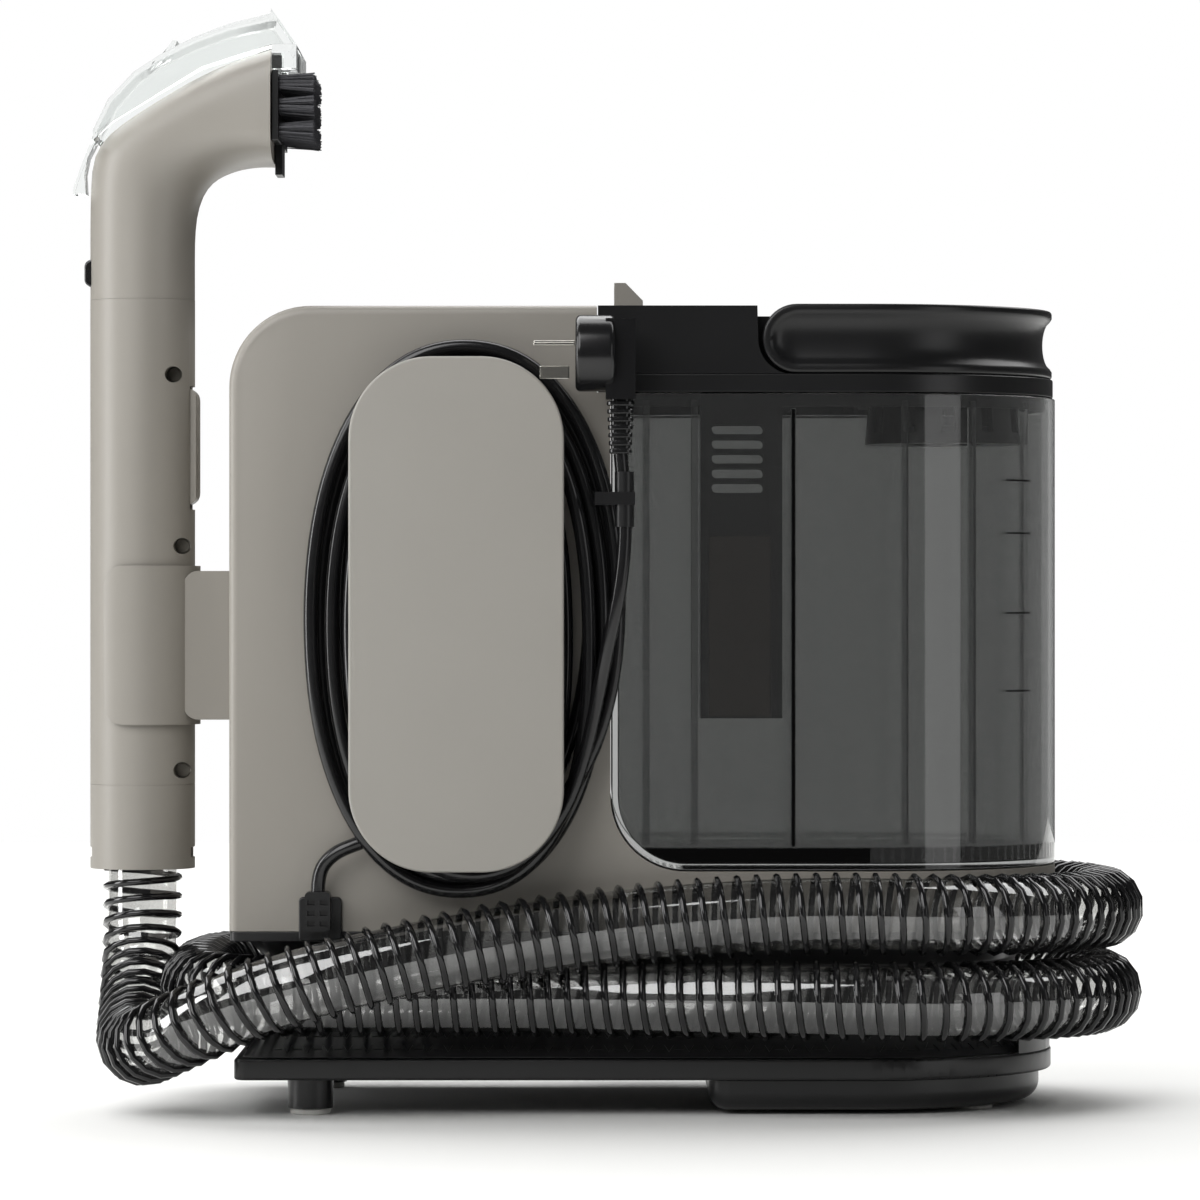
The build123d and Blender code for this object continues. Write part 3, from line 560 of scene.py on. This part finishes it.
def scatter_tree():
    """One shape on every point, turned and sized by the points' own attributes."""
    tree, given, group_out = new_tree(
        "shape_on_points", {"Shape": "NodeSocketObject", "Material": "NodeSocketMaterial"}
    )
    shape = add_node(tree, "GeometryNodeObjectInfo", {"Object": given.outputs["Shape"]})
    turn, size = (
        add_node(tree, "GeometryNodeInputNamedAttribute", {"Name": label}, data_type="FLOAT_VECTOR")
        for label in ("turn", "size")
    )
    rotation = add_node(tree, "FunctionNodeEulerToRotation", {0: turn.outputs["Attribute"]})
    copies = add_node(
        tree,
        "GeometryNodeInstanceOnPoints",
        {
            "Points": given.outputs["Geometry"],
            "Instance": shape.outputs["Geometry"],
            "Rotation": rotation.outputs[0],
            "Scale": size.outputs["Attribute"],
        },
    )
    close_tree(tree, copies.outputs[0], given.outputs["Material"], group_out)
    return tree


def scatter(name, shape_mesh, places, finish, body):
    """A piece made of copies of one shape; each place is (position, euler turn, size), in metres."""
    points = bpy.data.meshes.new(name + "_points")
    points.from_pydata([tuple(place[0]) for place in places], [], [])
    for label, index in (("turn", 1), ("size", 2)):
        values = points.attributes.new(label, "FLOAT_VECTOR", "POINT")
        values.data.foreach_set("vector", [number for place in places for number in place[index]])
    holder = bpy.data.objects.new(name + "_holder", points)
    pattern = bpy.data.objects.new(name + "_shape", shape_mesh)
    for made in (holder, pattern):
        bpy.context.scene.collection.objects.link(made)
    tree = bpy.data.node_groups.get("shape_on_points") or scatter_tree()
    use_tree(holder, tree, {"Shape": pattern, "Material": finish})
    mesh = plain_mesh_of(holder, name)
    bpy.data.objects.remove(pattern)
    for label in ("turn", "size"):
        if label in mesh.attributes:
            mesh.attributes.remove(mesh.attributes[label])
    return link_piece(name, mesh, None, body)


def prism(name, outline, height):
    """A closed prism over an outline in its own XY plane, from z = 0 up to its height."""
    work = bmesh.new()
    base = work.faces.new([work.verts.new((x, y, 0)) for x, y in outline])
    top = bmesh.ops.extrude_face_region(work, geom=[base])
    moved = [item for item in top["geom"] if isinstance(item, bmesh.types.BMVert)]
    bmesh.ops.translate(work, verts=moved, vec=(0, 0, height))
    bmesh.ops.recalc_face_normals(work, faces=work.faces)
    return mesh_of(work, name)


def close_rings(work, rings):
    """Join rings of points, one after the other, and cap both ends."""
    for low, high in zip(rings, rings[1:]):
        for step in range(len(low)):
            after = (step + 1) % len(low)
            work.faces.new((low[step], low[after], high[after], high[step]))
    work.faces.new(rings[0])
    work.faces.new(rings[-1])


# ------------------------------------------------------------------ hose
HOSE_ROUTE = [
    (-208, 0, 114.5), (-208, 0, 82), (-208, -27, 47), (-206, -76, 30), (-186, -118, 41), (-140, -136, 62),
    (-72, -131, 78), (15, -116, 92), (110, -117, 99), (195.8, -119, 97), (265.5, -49.3, 96),
    (265.5, 49.3, 96), (195.8, 119, 97), (105, 117, 99), (18, 118, 99.5), (-70, 119, 76),
    (-141, 116, 60), (-178, 80, 59), (-179.5, 10, 59.5), (-177.5, -60, 58), (-141, -97, 57.5),
    (-70, -95.5, 57.4), (15, -97, 57.2), (105, -112, 57), (195.8, -118, 56), (264.5, -49.3, 55),
    (264.5, 49.3, 55), (195.8, 118, 56), (128, 111, 57), (62, 111, 57),
]


class CLEANER_OT_hose(bpy.types.Operator):
    """Lay the clear suction hose and wind its wire"""

    bl_idname = "cleaner.hose"
    bl_label = "Suction hose"

    def execute(self, context):
        sizes = context.scene.cleaner_hose
        film_mm = sizes.film / 2 / MM
        wire_sunk = 0.32  # share of the wire's thickness from the film to the wire's middle
        film = nurbs_curve("suction_hose_film", HOSE_ROUTE, film_mm, FINISH["hose"], 20)
        line = nurbs_curve("hose_centreline", HOSE_ROUTE, 0, FINISH["hose_wire"], 24)
        use_tree(
            line,
            helix_tree(),
            {
                "Pitch": sizes.pitch,
                "Radius": sizes.film / 2 + sizes.wire * wire_sunk,
                "Wire radius": sizes.wire / 2,
                "Material": FINISH["hose_wire"],
            },
        )
        winding = plain_mesh_of(line, "suction_hose_wire")
        wire = link_piece("suction_hose_wire", winding, None, "root")
        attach(film, "root")
        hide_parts("hose_tube")
        return {"FINISHED"}


# ------------------------------------------------------------------ mains cord
GLAND_EXIT = (-116.5, -104, 108)
LEAD_ROUTE = [GLAND_EXIT, (-116.5, -104, 117), (-110, -105.5, 125.5), (-100.5, -106, 130)]
TAIL_ROUTE = [
    (17, -117, 203), (21, -121.5, 224), (26, -124.5, 246), (29.2, -124.8, 270), (29.2, -124.5, 293),
    (27.2, -124.5, 315.6),
]
COIL_CENTRE = (-46.5, 236)
TURN_SHAPES = [  # half width, half height, depth layer, shift across, shift up
    (43, 107, 0, 0, 0),
    (59, 118, 0, 1, 2),
    (50, 111, 1, -2, -1),
    (70, 128, 0, 0, 0),
    (65, 122, 1, 1, -2),
    (46, 109, 2, -1, 2),
    (74, 131, 1, 0, 1),
    (57, 117, 2, 2, -3),
    (68, 126, 2, -1, -1),
]
LAYER_DEPTHS = (-101.0, -108.4, -115.8)


def coil_points(turns):
    """Loose turns round the cord post, wound unevenly, from the lower left to the right side."""
    per_turn = 22
    change_over = 0.35  # share of a turn in which the cord moves on to the next turn's shape
    start, end = math.radians(-118), math.radians(-36) + math.tau * turns
    count = int((end - start) / math.tau * per_turn)
    points = []
    for step in range(count + 1):
        angle = start + (end - start) * step / count
        index, ease = divmod((angle - start) / math.tau, 1)
        blend = min(1.0, ease / change_over)
        blend = blend * blend * (3 - 2 * blend)
        before = TURN_SHAPES[max(0, int(index) - 1)]
        here = TURN_SHAPES[min(int(index), len(TURN_SHAPES) - 1)]
        half_x, half_z, _, shift_x, shift_z = (a + (b - a) * blend for a, b in zip(before, here))
        depth = LAYER_DEPTHS[before[2]] * (1 - blend) + LAYER_DEPTHS[here[2]] * blend
        cos, sin = math.cos(angle), math.sin(angle)
        x = COIL_CENTRE[0] + half_x * math.copysign(abs(cos) ** 0.9, cos) + shift_x
        z = COIL_CENTRE[1] + half_z * math.copysign(abs(sin) ** 0.92, sin) + shift_z
        points.append((x, depth, z))
    return points


class CLEANER_OT_mains_cord(bpy.types.Operator):
    """Wind the mains cord on its post and lead it to the plug"""

    bl_idname = "cleaner.mains_cord"
    bl_label = "Mains cord"

    def execute(self, context):
        sizes = context.scene.cleaner_cord
        route = LEAD_ROUTE + coil_points(sizes.turns) + TAIL_ROUTE
        cord = nurbs_curve("mains_cord", route, sizes.thickness / 2 / MM, FINISH["pvc_cord"], 5)
        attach(cord, "root")
        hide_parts("mains_lead", "mains_coil", "mains_tail")
        return {"FINISHED"}


# ------------------------------------------------------------------ stage
def soft_light(name, place, target, size, power):
    """A large square light that points at a target."""
    lamp = bpy.data.lights.new(name, "AREA")
    lamp.shape = "RECTANGLE"
    lamp.size, lamp.size_y = size
    lamp.energy = power
    holder = bpy.data.objects.new(name, lamp)
    bpy.context.scene.collection.objects.link(holder)
    holder.location = place
    holder.rotation_euler = (Vector(target) - Vector(place)).to_track_quat("-Z", "Y").to_euler()


class CLEANER_OT_stage(bpy.types.Operator):
    """Floor, soft lights and camera"""

    bl_idname = "cleaner.stage"
    bl_label = "Stage"

    def execute(self, context):
        scene = context.scene
        stage = scene.cleaner_stage
        floor_mesh = bpy.data.meshes.new("floor")
        side, near, far = 2.4, -1.5, 3.0
        corners = [(-side, near, 0), (side, near, 0), (side, far, 0), (-side, far, 0)]
        floor_mesh.from_pydata(corners, [], [(0, 1, 2, 3)])
        floor = bpy.data.objects.new("floor", floor_mesh)
        scene.collection.objects.link(floor)
        white = linear("#F2F2F0")
        paper, tree, shader = new_material("paper_matt_white", white, 0.6)
        add_mottle(tree, shader, white, 300, 0.01)
        floor_mesh.materials.append(paper)

        world = bpy.data.worlds.new("studio")
        world.use_nodes = True
        tree = world.node_tree
        background = tree.nodes["Background"]
        background.inputs["Color"].default_value = (1, 1, 1, 1)
        ray = add_node(tree, "ShaderNodeLightPath")
        seen = add_node(
            tree,
            "ShaderNodeMath",
            {0: ray.outputs["Is Camera Ray"], 1: ray.outputs["Is Transmission Ray"]},
            operation="MAXIMUM",
        )
        strength = add_node(
            tree, "ShaderNodeMapRange", {"Value": seen.outputs[0], "To Min": stage.ambient, "To Max": 1.0}
        )
        tree.links.new(strength.outputs["Result"], background.inputs["Strength"])
        scene.world = world
        scene.view_settings.view_transform = "Standard"

        middle = (0.0, 0.0, 0.25)
        tank = (0.1, 0.0, 0.3)
        floor_behind = (0.0, 1.9, 0.0)
        soft_light("softbox_above", (-0.9, -1.5, 1.5), middle, (1.5, 1.7), stage.key)
        soft_light("strip_left", (-1.8, -0.35, 0.55), middle, (0.5, 1.7), stage.key * 0.62)
        soft_light("panel_right", (2.1, -1.9, 0.6), tank, (1.1, 1.5), stage.key * 0.16)
        soft_light("sky_back", (0.0, 1.9, 2.6), floor_behind, (6.0, 3.2), stage.key * 5.8)

        lens = bpy.data.cameras.new("camera")
        lens.sensor_width = 36.0
        lens.lens = stage.lens
        lens.clip_end = 50.0
        camera = bpy.data.objects.new("camera", lens)
        camera.location = (stage.side, -stage.distance, stage.height)
        camera.rotation_euler = (math.radians(90), 0, 0)
        scene.collection.objects.link(camera)
        scene.camera = camera
        return {"FINISHED"}


# ------------------------------------------------------------------ tool head
HEAD_STATIONS = [  # outer point, inner point, half width and squareness of each section
    ((-233.75, 394.1), (-182.25, 394.1), 25.75, 2.0),
    ((-233.75, 408), (-182.25, 408), 25.75, 2.0),
    ((-233.8, 428), (-182.3, 422), 25.8, 2.0),
    ((-233.6, 450), (-181.6, 435), 26.0, 2.0),
    ((-232.3, 466), (-178.5, 446), 27.0, 2.1),
    ((-224.5, 476), (-173.5, 452.6), 29.0, 2.3),
    ((-212, 484.6), (-168, 456.0), 31.8, 2.6),
    ((-198.5, 492.6), (-162.5, 458.4), 35.2, 2.9),
    ((-184, 501.0), (-156.5, 460.0), 38.8, 3.2),
    ((-168, 508.4), (-150.5, 460.8), 42.2, 3.6),
    ((-154, 513.0), (-146, 461.0), 44.8, 4.0),
    ((-142.6, 516), (-142.6, 461), 46.0, 4.4),
]


def rounded(value, power):
    """Signed power of a sine or cosine, for a rounded-square section."""
    return math.copysign(abs(value) ** (2 / power), value)


def head_mesh():
    """Elbow of the tool: sections from the round tube to the wide mouth, closed at both ends."""
    work = bmesh.new()
    around = 56
    rings = []
    for outer, inner, half_width, power in HEAD_STATIONS:
        centre = (Vector(outer) + Vector(inner)) / 2
        reach = (Vector(outer) - Vector(inner)) / 2
        ring = []
        for step in range(around):
            angle = math.tau * step / around
            up = centre + reach * rounded(math.cos(angle), power)
            ring.append(work.verts.new(at(up.x, half_width * rounded(math.sin(angle), power), up.y)))
        rings.append(ring)
    close_rings(work, rings)
    bmesh.ops.recalc_face_normals(work, faces=work.faces)
    for face in work.faces:
        face.smooth = len(face.verts) == 4
    crease = work.edges.layers.float.new("crease_edge")
    for ring in (rings[0], rings[-1]):
        for a, b in zip(ring, ring[1:] + ring[:1]):
            edge = work.edges.get((a, b))
            edge.smooth = False
            edge[crease] = 1.0
    return mesh_of(work, "tool_head_skin")


class CLEANER_OT_tool_head(bpy.types.Operator):
    """Shape the tool's elbow head"""

    bl_idname = "cleaner.tool_head"
    bl_label = "Tool head"

    def execute(self, context):
        finish = FINISH["taupe_abs"]
        head = link_piece("tool_head_skin", head_mesh(), finish, "head")
        smooth = head.modifiers.new("smooth", "SUBSURF")
        smooth.levels = smooth.render_levels = 1
        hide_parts("head_shell")
        return {"FINISHED"}


class CLEANER_OT_brush(bpy.types.Operator):
    """Set the bristles of the tool's brush"""

    bl_idname = "cleaner.brush"
    bl_label = "Brush"

    def execute(self, context):
        sizes = context.scene.cleaner_brush
        random.seed(sizes.seed)
        low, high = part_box("brush_tufts")
        thin = 0.3 * MM
        corners = [(thin * math.cos(a), thin * math.sin(a)) for a in (0, 2.1, 4.2)]
        filament = prism("filament", corners, MM)
        rim = 0.0023
        root_radius = 3.7 * MM
        rows = [low.z + rim + i * (high.z - low.z - 2 * rim) / 2 for i in range(3)]
        columns = [low.y + rim + i * (high.y - low.y - 2 * rim) / 8 for i in range(9)]
        places = []
        for z in rows:
            for y in columns:
                for _ in range(sizes.per_tuft):
                    angle = random.uniform(0, math.tau)
                    reach = root_radius * math.sqrt(random.random())
                    off = Vector((-0.0004, reach * math.cos(angle), reach * math.sin(angle)))
                    root = Vector((low.x, y, z)) + off
                    spread = Vector((1, (root.y - y) * 22, (root.z - z) * 25))
                    spread += Vector((0, random.gauss(0, 0.025), random.gauss(0, 0.025)))
                    turn = spread.normalized().to_track_quat("Z", "Y").to_euler()
                    long = sizes.length / MM * random.uniform(0.96, 1.0)
                    places.append((root, turn, (1, 1, long)))
        bristles = scatter("brush_bristles", filament, places, FINISH["bristle"], "head")
        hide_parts("brush_tufts")
        return {"FINISHED"}


# ------------------------------------------------------------------ bail handle
GRIP = {  # millimetres; outer is the radius of the bend, half the half height of the grip
    "pivot": (111.5, 371.4), "outer": 93.5, "thick": 13.5, "half": 16.5, "groove": 11.9, "deep": 4.6,
    "lip": 1.2,
}


def grip_place(distance):
    """Point and outward direction on the handle's outer face, from the near pivot round to the far one."""
    straight = NOSE_X - GRIP["pivot"][0]
    bend = math.pi * GRIP["outer"]
    if distance <= straight:
        return Vector((GRIP["pivot"][0] + distance, -GRIP["outer"])), Vector((0, -1))
    if distance >= straight + bend:
        rest = distance - straight - bend
        return Vector((NOSE_X - rest, GRIP["outer"])), Vector((0, 1))
    angle = -math.pi / 2 + (distance - straight) / GRIP["outer"]
    out = Vector((math.cos(angle), math.sin(angle)))
    return Vector((NOSE_X, 0)) + out * GRIP["outer"], out


def grip_depth(reach):
    """How far the face lies below its lips, by the distance from the middle of the grip."""
    depth = 0.0
    if reach < GRIP["groove"]:
        depth = GRIP["deep"] * (1 - (reach / GRIP["groove"]) ** 2) ** 0.5
    if reach > GRIP["half"] - GRIP["lip"]:
        depth += (reach - GRIP["half"] + GRIP["lip"]) ** 2 * 0.6
    return depth


def grip_mesh():
    """U-shaped handle with a hollowed grip that ends round at both pivots."""
    length = 2 * (NOSE_X - GRIP["pivot"][0]) + math.pi * GRIP["outer"]
    half, thick = GRIP["half"], GRIP["thick"]
    inner_face = ((thick - 1, 1), (thick, 0.93), (thick, -0.93), (thick - 1, -1))
    cap = [math.radians(88 - 8 * i) for i in range(11)]
    stations = [(-half * math.sin(a), half * math.cos(a)) for a in cap]
    stations += [(length * i / 120, half) for i in range(121)]
    stations += [(length + half * math.sin(a), half * math.cos(a)) for a in reversed(cap)]
    work = bmesh.new()
    rings = []
    for distance, height in stations:
        point, out = grip_place(distance)
        past = max(-distance, distance - length, 0)
        ring = []
        for step in range(25):
            up = height * math.sin(math.pi * (step / 24 - 0.5))
            face = point - out * grip_depth(math.hypot(past, up))
            ring.append(work.verts.new(at(face.x, face.y, GRIP["pivot"][1] + up)))
        for inward, share in inner_face:
            back = point - out * inward
            ring.append(work.verts.new(at(back.x, back.y, GRIP["pivot"][1] + height * share)))
        rings.append(ring)
    close_rings(work, rings)
    bmesh.ops.remove_doubles(work, verts=work.verts, dist=0.02 * MM)
    bmesh.ops.recalc_face_normals(work, faces=work.faces)
    smooth_faces(work, 50)
    return mesh_of(work, "bail_handle_skin")


class CLEANER_OT_handle(bpy.types.Operator):
    """Shape the bail handle and its hollowed grip"""

    bl_idname = "cleaner.handle"
    bl_label = "Bail handle"

    def execute(self, context):
        finish = FINISH["black_satin"]
        handle = link_piece("bail_handle_skin", grip_mesh(), finish, "bail_handle")
        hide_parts("bail_handle")
        return {"FINISHED"}


# ------------------------------------------------------------------ plug strain relief
def relief_mesh(low, high):
    """Strain relief of the plug: seven flat rounded ribs on a tapering core."""
    around, core, pitch = 28, 4.5, 3.75
    levels = [(high.z / MM, core)]
    for rib in range(7):
        top = high.z / MM - 0.6 - pitch * rib
        wide = 6.6 - 0.2 * rib
        levels += [(top, core), (top - 0.15, wide - 0.3), (top - 0.6, wide)]
        levels += [(top - 1.9, wide), (top - 2.3, wide - 0.3), (top - 2.45, core)]
    levels.append((low.z / MM, 3.9))
    work = bmesh.new()
    centre = (low + high) / 2
    middle = Vector((centre.x, centre.y, 0))
    rings = []
    for height, wide in levels:
        ring = []
        for step in range(around):
            angle = math.tau * step / around
            x = wide * rounded(math.cos(angle), 3.2)
            y = wide * 0.86 * rounded(math.sin(angle), 3.2)
            ring.append(work.verts.new(middle + at(x, y, height)))
        rings.append(ring)
    close_rings(work, rings)
    bmesh.ops.recalc_face_normals(work, faces=work.faces)
    return mesh_of(work, "plug_relief_skin")


class CLEANER_OT_plug_relief(bpy.types.Operator):
    """Shape the ribbed strain relief between plug and cord"""

    bl_idname = "cleaner.plug_relief"
    bl_label = "Plug strain relief"

    def execute(self, context):
        low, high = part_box("plug_relief")
        mesh = relief_mesh(low, high)
        relief = link_piece("plug_relief_skin", mesh, FINISH["pvc_cord"], "root")
        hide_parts("plug_relief")
        return {"FINISHED"}


# ------------------------------------------------------------------ tank and lid
def painted_shadow_band_mesh():
    """Flat ring that follows the tank's wall from inside, below the lid: set in black, it is painted shadow
    that darkens the band under the lid.
    """
    work = bmesh.new()
    loops = []
    arc = [math.radians(-90 + 5 * i) for i in range(37)]
    for inset in (5.0, 6.6):
        half, left = BODY_HALF - inset, TANK_LEFT + inset
        around = [(NOSE_X + half * math.cos(a), half * math.sin(a)) for a in arc]
        around += [(left, half), (left, -half)]
        for height in (LID_UNDERSIDE, LID_UNDERSIDE - 6.4):
            loops.append([work.verts.new(at(x, y, height)) for x, y in around])
    outer_top, outer_low, inner_top, inner_low = loops
    sides = ((outer_top, outer_low), (outer_low, inner_low), (inner_low, inner_top), (inner_top, outer_top))
    for first, second in sides:
        for step in range(len(first)):
            after = (step + 1) % len(first)
            work.faces.new((first[step], first[after], second[after], second[step]))
    bmesh.ops.recalc_face_normals(work, faces=work.faces)
    return mesh_of(work, "lid_seal")


class CLEANER_OT_tank_details(bpy.types.Operator):
    """Inner ribs of the tank, a black ring that paints the shadow band under the lid, and the clear catches
    under the lid
    """

    bl_idname = "cleaner.tank_details"
    bl_label = "Tank details"

    def execute(self, context):
        section = [(-1.6, 0), (1.6, 0), (1.2, 3.2), (-1.2, 3.2)]
        rib = prism("rib", [(x * MM, y * MM) for x, y in section], 212 * MM)
        places = []
        for x in (39.5, 62.5, 163, 196, 222.5):
            out = Vector((0, -1))
            past = x - NOSE_X
            if past > 0:
                out = Vector((past, -math.sqrt(TANK_INSIDE**2 - past**2))).normalized()
            spot = Vector((min(x, NOSE_X), 0)) + out * TANK_INSIDE
            turn = math.atan2(out.y, out.x) + math.pi / 2
            places.append((at(spot.x, spot.y, 130), (0, 0, turn), (1, 1, 1)))
        scatter("tank_inner_ribs", rib, places, FINISH["smoke_clear"], "tank")

        # This black ring is painted shadow for the dark band under the lid.
        link_piece("lid_seal", painted_shadow_band_mesh(), FINISH["black_satin"], "lid")

        legs = [(-3.7, 0), (-3.7, -8), (3.7, -8), (3.7, 0), (2.2, 0), (2.2, -6), (-2.2, -6), (-2.2, 0)]
        catch = prism("catch", [(x * MM, y * MM) for x, y in legs], 2.6 * MM)
        upright = (math.pi / 2, 0, 0)
        spots = [
            (at(144.3, -86.5, LID_UNDERSIDE), upright, (1, 1, 1)),
            (at(226, -27, LID_UNDERSIDE), upright, (1.5, 1.15, 1)),
            (at(144.3, 89.1, LID_UNDERSIDE), upright, (1, 1, 1)),
        ]
        scatter("lid_catches", catch, spots, FINISH["clear_plastic"], "lid")
        return {"FINISHED"}


# ------------------------------------------------------------------ small trim
def cradle_run(inset):
    """Points and outward directions every few millimetres round the cradle, at one inset."""
    half = BODY_HALF - inset
    left = BODY_LEFT + inset
    pitch, corner = 4.8, 14
    spots = []
    for side in (-1, 1):
        count = int((NOSE_X - left - 24) / pitch)
        spots += [((left + corner + pitch * i, side * half), (0, side)) for i in range(count)]
    count = int(math.pi * half / pitch)
    for i in range(count + 1):
        angle = -math.pi / 2 + math.pi * i / count
        cos, sin = math.cos(angle), math.sin(angle)
        spots.append(((NOSE_X + half * cos, half * sin), (cos, sin)))
    count = int((2 * half - 2 * corner) / pitch)
    spots += [((left, -half + corner + pitch * i), (-1, 0)) for i in range(count + 1)]
    return spots


class CLEANER_OT_trim(bpy.types.Operator):
    """Raised triangles on the cradle and level marks on the tank"""

    bl_idname = "cleaner.trim"
    bl_label = "Trim and marks"

    def execute(self, context):
        slope = 0.678  # how far the cradle leans in per millimetre of height
        cradle_foot = 27.5
        tilt = math.atan(slope)
        side = 2.5 * MM
        angles = [math.radians(degrees) for degrees in (90, 210, 330)]
        corners = [(side * math.cos(a), side * math.sin(a)) for a in angles]
        tile = prism("tile", corners, 0.9 * MM)
        places = []
        for row, height in enumerate((32.4, 38.4)):
            inset = 5.5 + slope * (height - cradle_foot)
            for index, ((x, y), (out_x, out_y)) in enumerate(cradle_run(inset)):
                outward = Vector((out_x * math.cos(tilt), out_y * math.cos(tilt), math.sin(tilt)))
                up = Vector((0, 0, 1)) - outward * outward.z
                up.normalize()
                if (index + row) % 2:
                    up = -up
                across = up.cross(outward)
                turn = Matrix((across, up, outward)).transposed().to_euler()
                places.append((at(x, y, height) - outward * 0.3 * MM, turn, (1, 1, 1)))
        scatter("cradle_triangles", tile, places, FINISH["black_satin"], "root")

        outer = BODY_HALF + 0.1
        inner = outer - 0.35
        arc = [math.radians(-45.5 + 1.5 * i) for i in range(9)]
        outline = [(outer * math.cos(a) * MM, outer * math.sin(a) * MM) for a in arc]
        outline += [(inner * math.cos(a) * MM, inner * math.sin(a) * MM) for a in reversed(arc)]
        mark = prism("mark", outline, 0.9 * MM)
        marks = [(at(NOSE_X, 0, z), (0, 0, 0), (1, 1, 1)) for z in (303.8, 278.3, 239.8, 202.2)]
        scatter("tank_level_marks", mark, marks, FINISH["black_gloss"], "tank")
        return {"FINISHED"}


# ------------------------------------------------------------------ panel and registration
class CLEANER_PT_panel(bpy.types.Panel):
    """Lists the steps of the carpet cleaner"""

    bl_idname = "CLEANER_PT_panel"
    bl_label = "Carpet cleaner"
    bl_space_type = "VIEW_3D"
    bl_region_type = "UI"
    bl_category = "Carpet cleaner"

    def draw(self, context):
        for operator in OPERATORS:
            self.layout.operator(operator.bl_idname)


OPERATORS = (
    CLEANER_OT_stage,
    CLEANER_OT_finishes,
    CLEANER_OT_shells,
    CLEANER_OT_plug_relief,
    CLEANER_OT_hose,
    CLEANER_OT_mains_cord,
    CLEANER_OT_tool_head,
    CLEANER_OT_brush,
    CLEANER_OT_handle,
    CLEANER_OT_tank_details,
    CLEANER_OT_trim,
)
SETTINGS = {
    "cleaner_finish": FinishSettings,
    "cleaner_hose": HoseSettings,
    "cleaner_cord": CordSettings,
    "cleaner_brush": BrushSettings,
    "cleaner_stage": StageSettings,
}


def register():
    for name, group in SETTINGS.items():
        bpy.utils.register_class(group)
        setattr(bpy.types.Scene, name, PointerProperty(type=group))
    for made in (*OPERATORS, CLEANER_PT_panel):
        bpy.utils.register_class(made)


def unregister():
    for made in reversed((*OPERATORS, CLEANER_PT_panel)):
        bpy.utils.unregister_class(made)
    for name, group in reversed(SETTINGS.items()):
        delattr(bpy.types.Scene, name)
        bpy.utils.unregister_class(group)


def main():
    register()
    for operator in OPERATORS:
        group, name = operator.bl_idname.split(".")
        getattr(getattr(bpy.ops, group), name)()


if __name__ == "__main__":
    main()
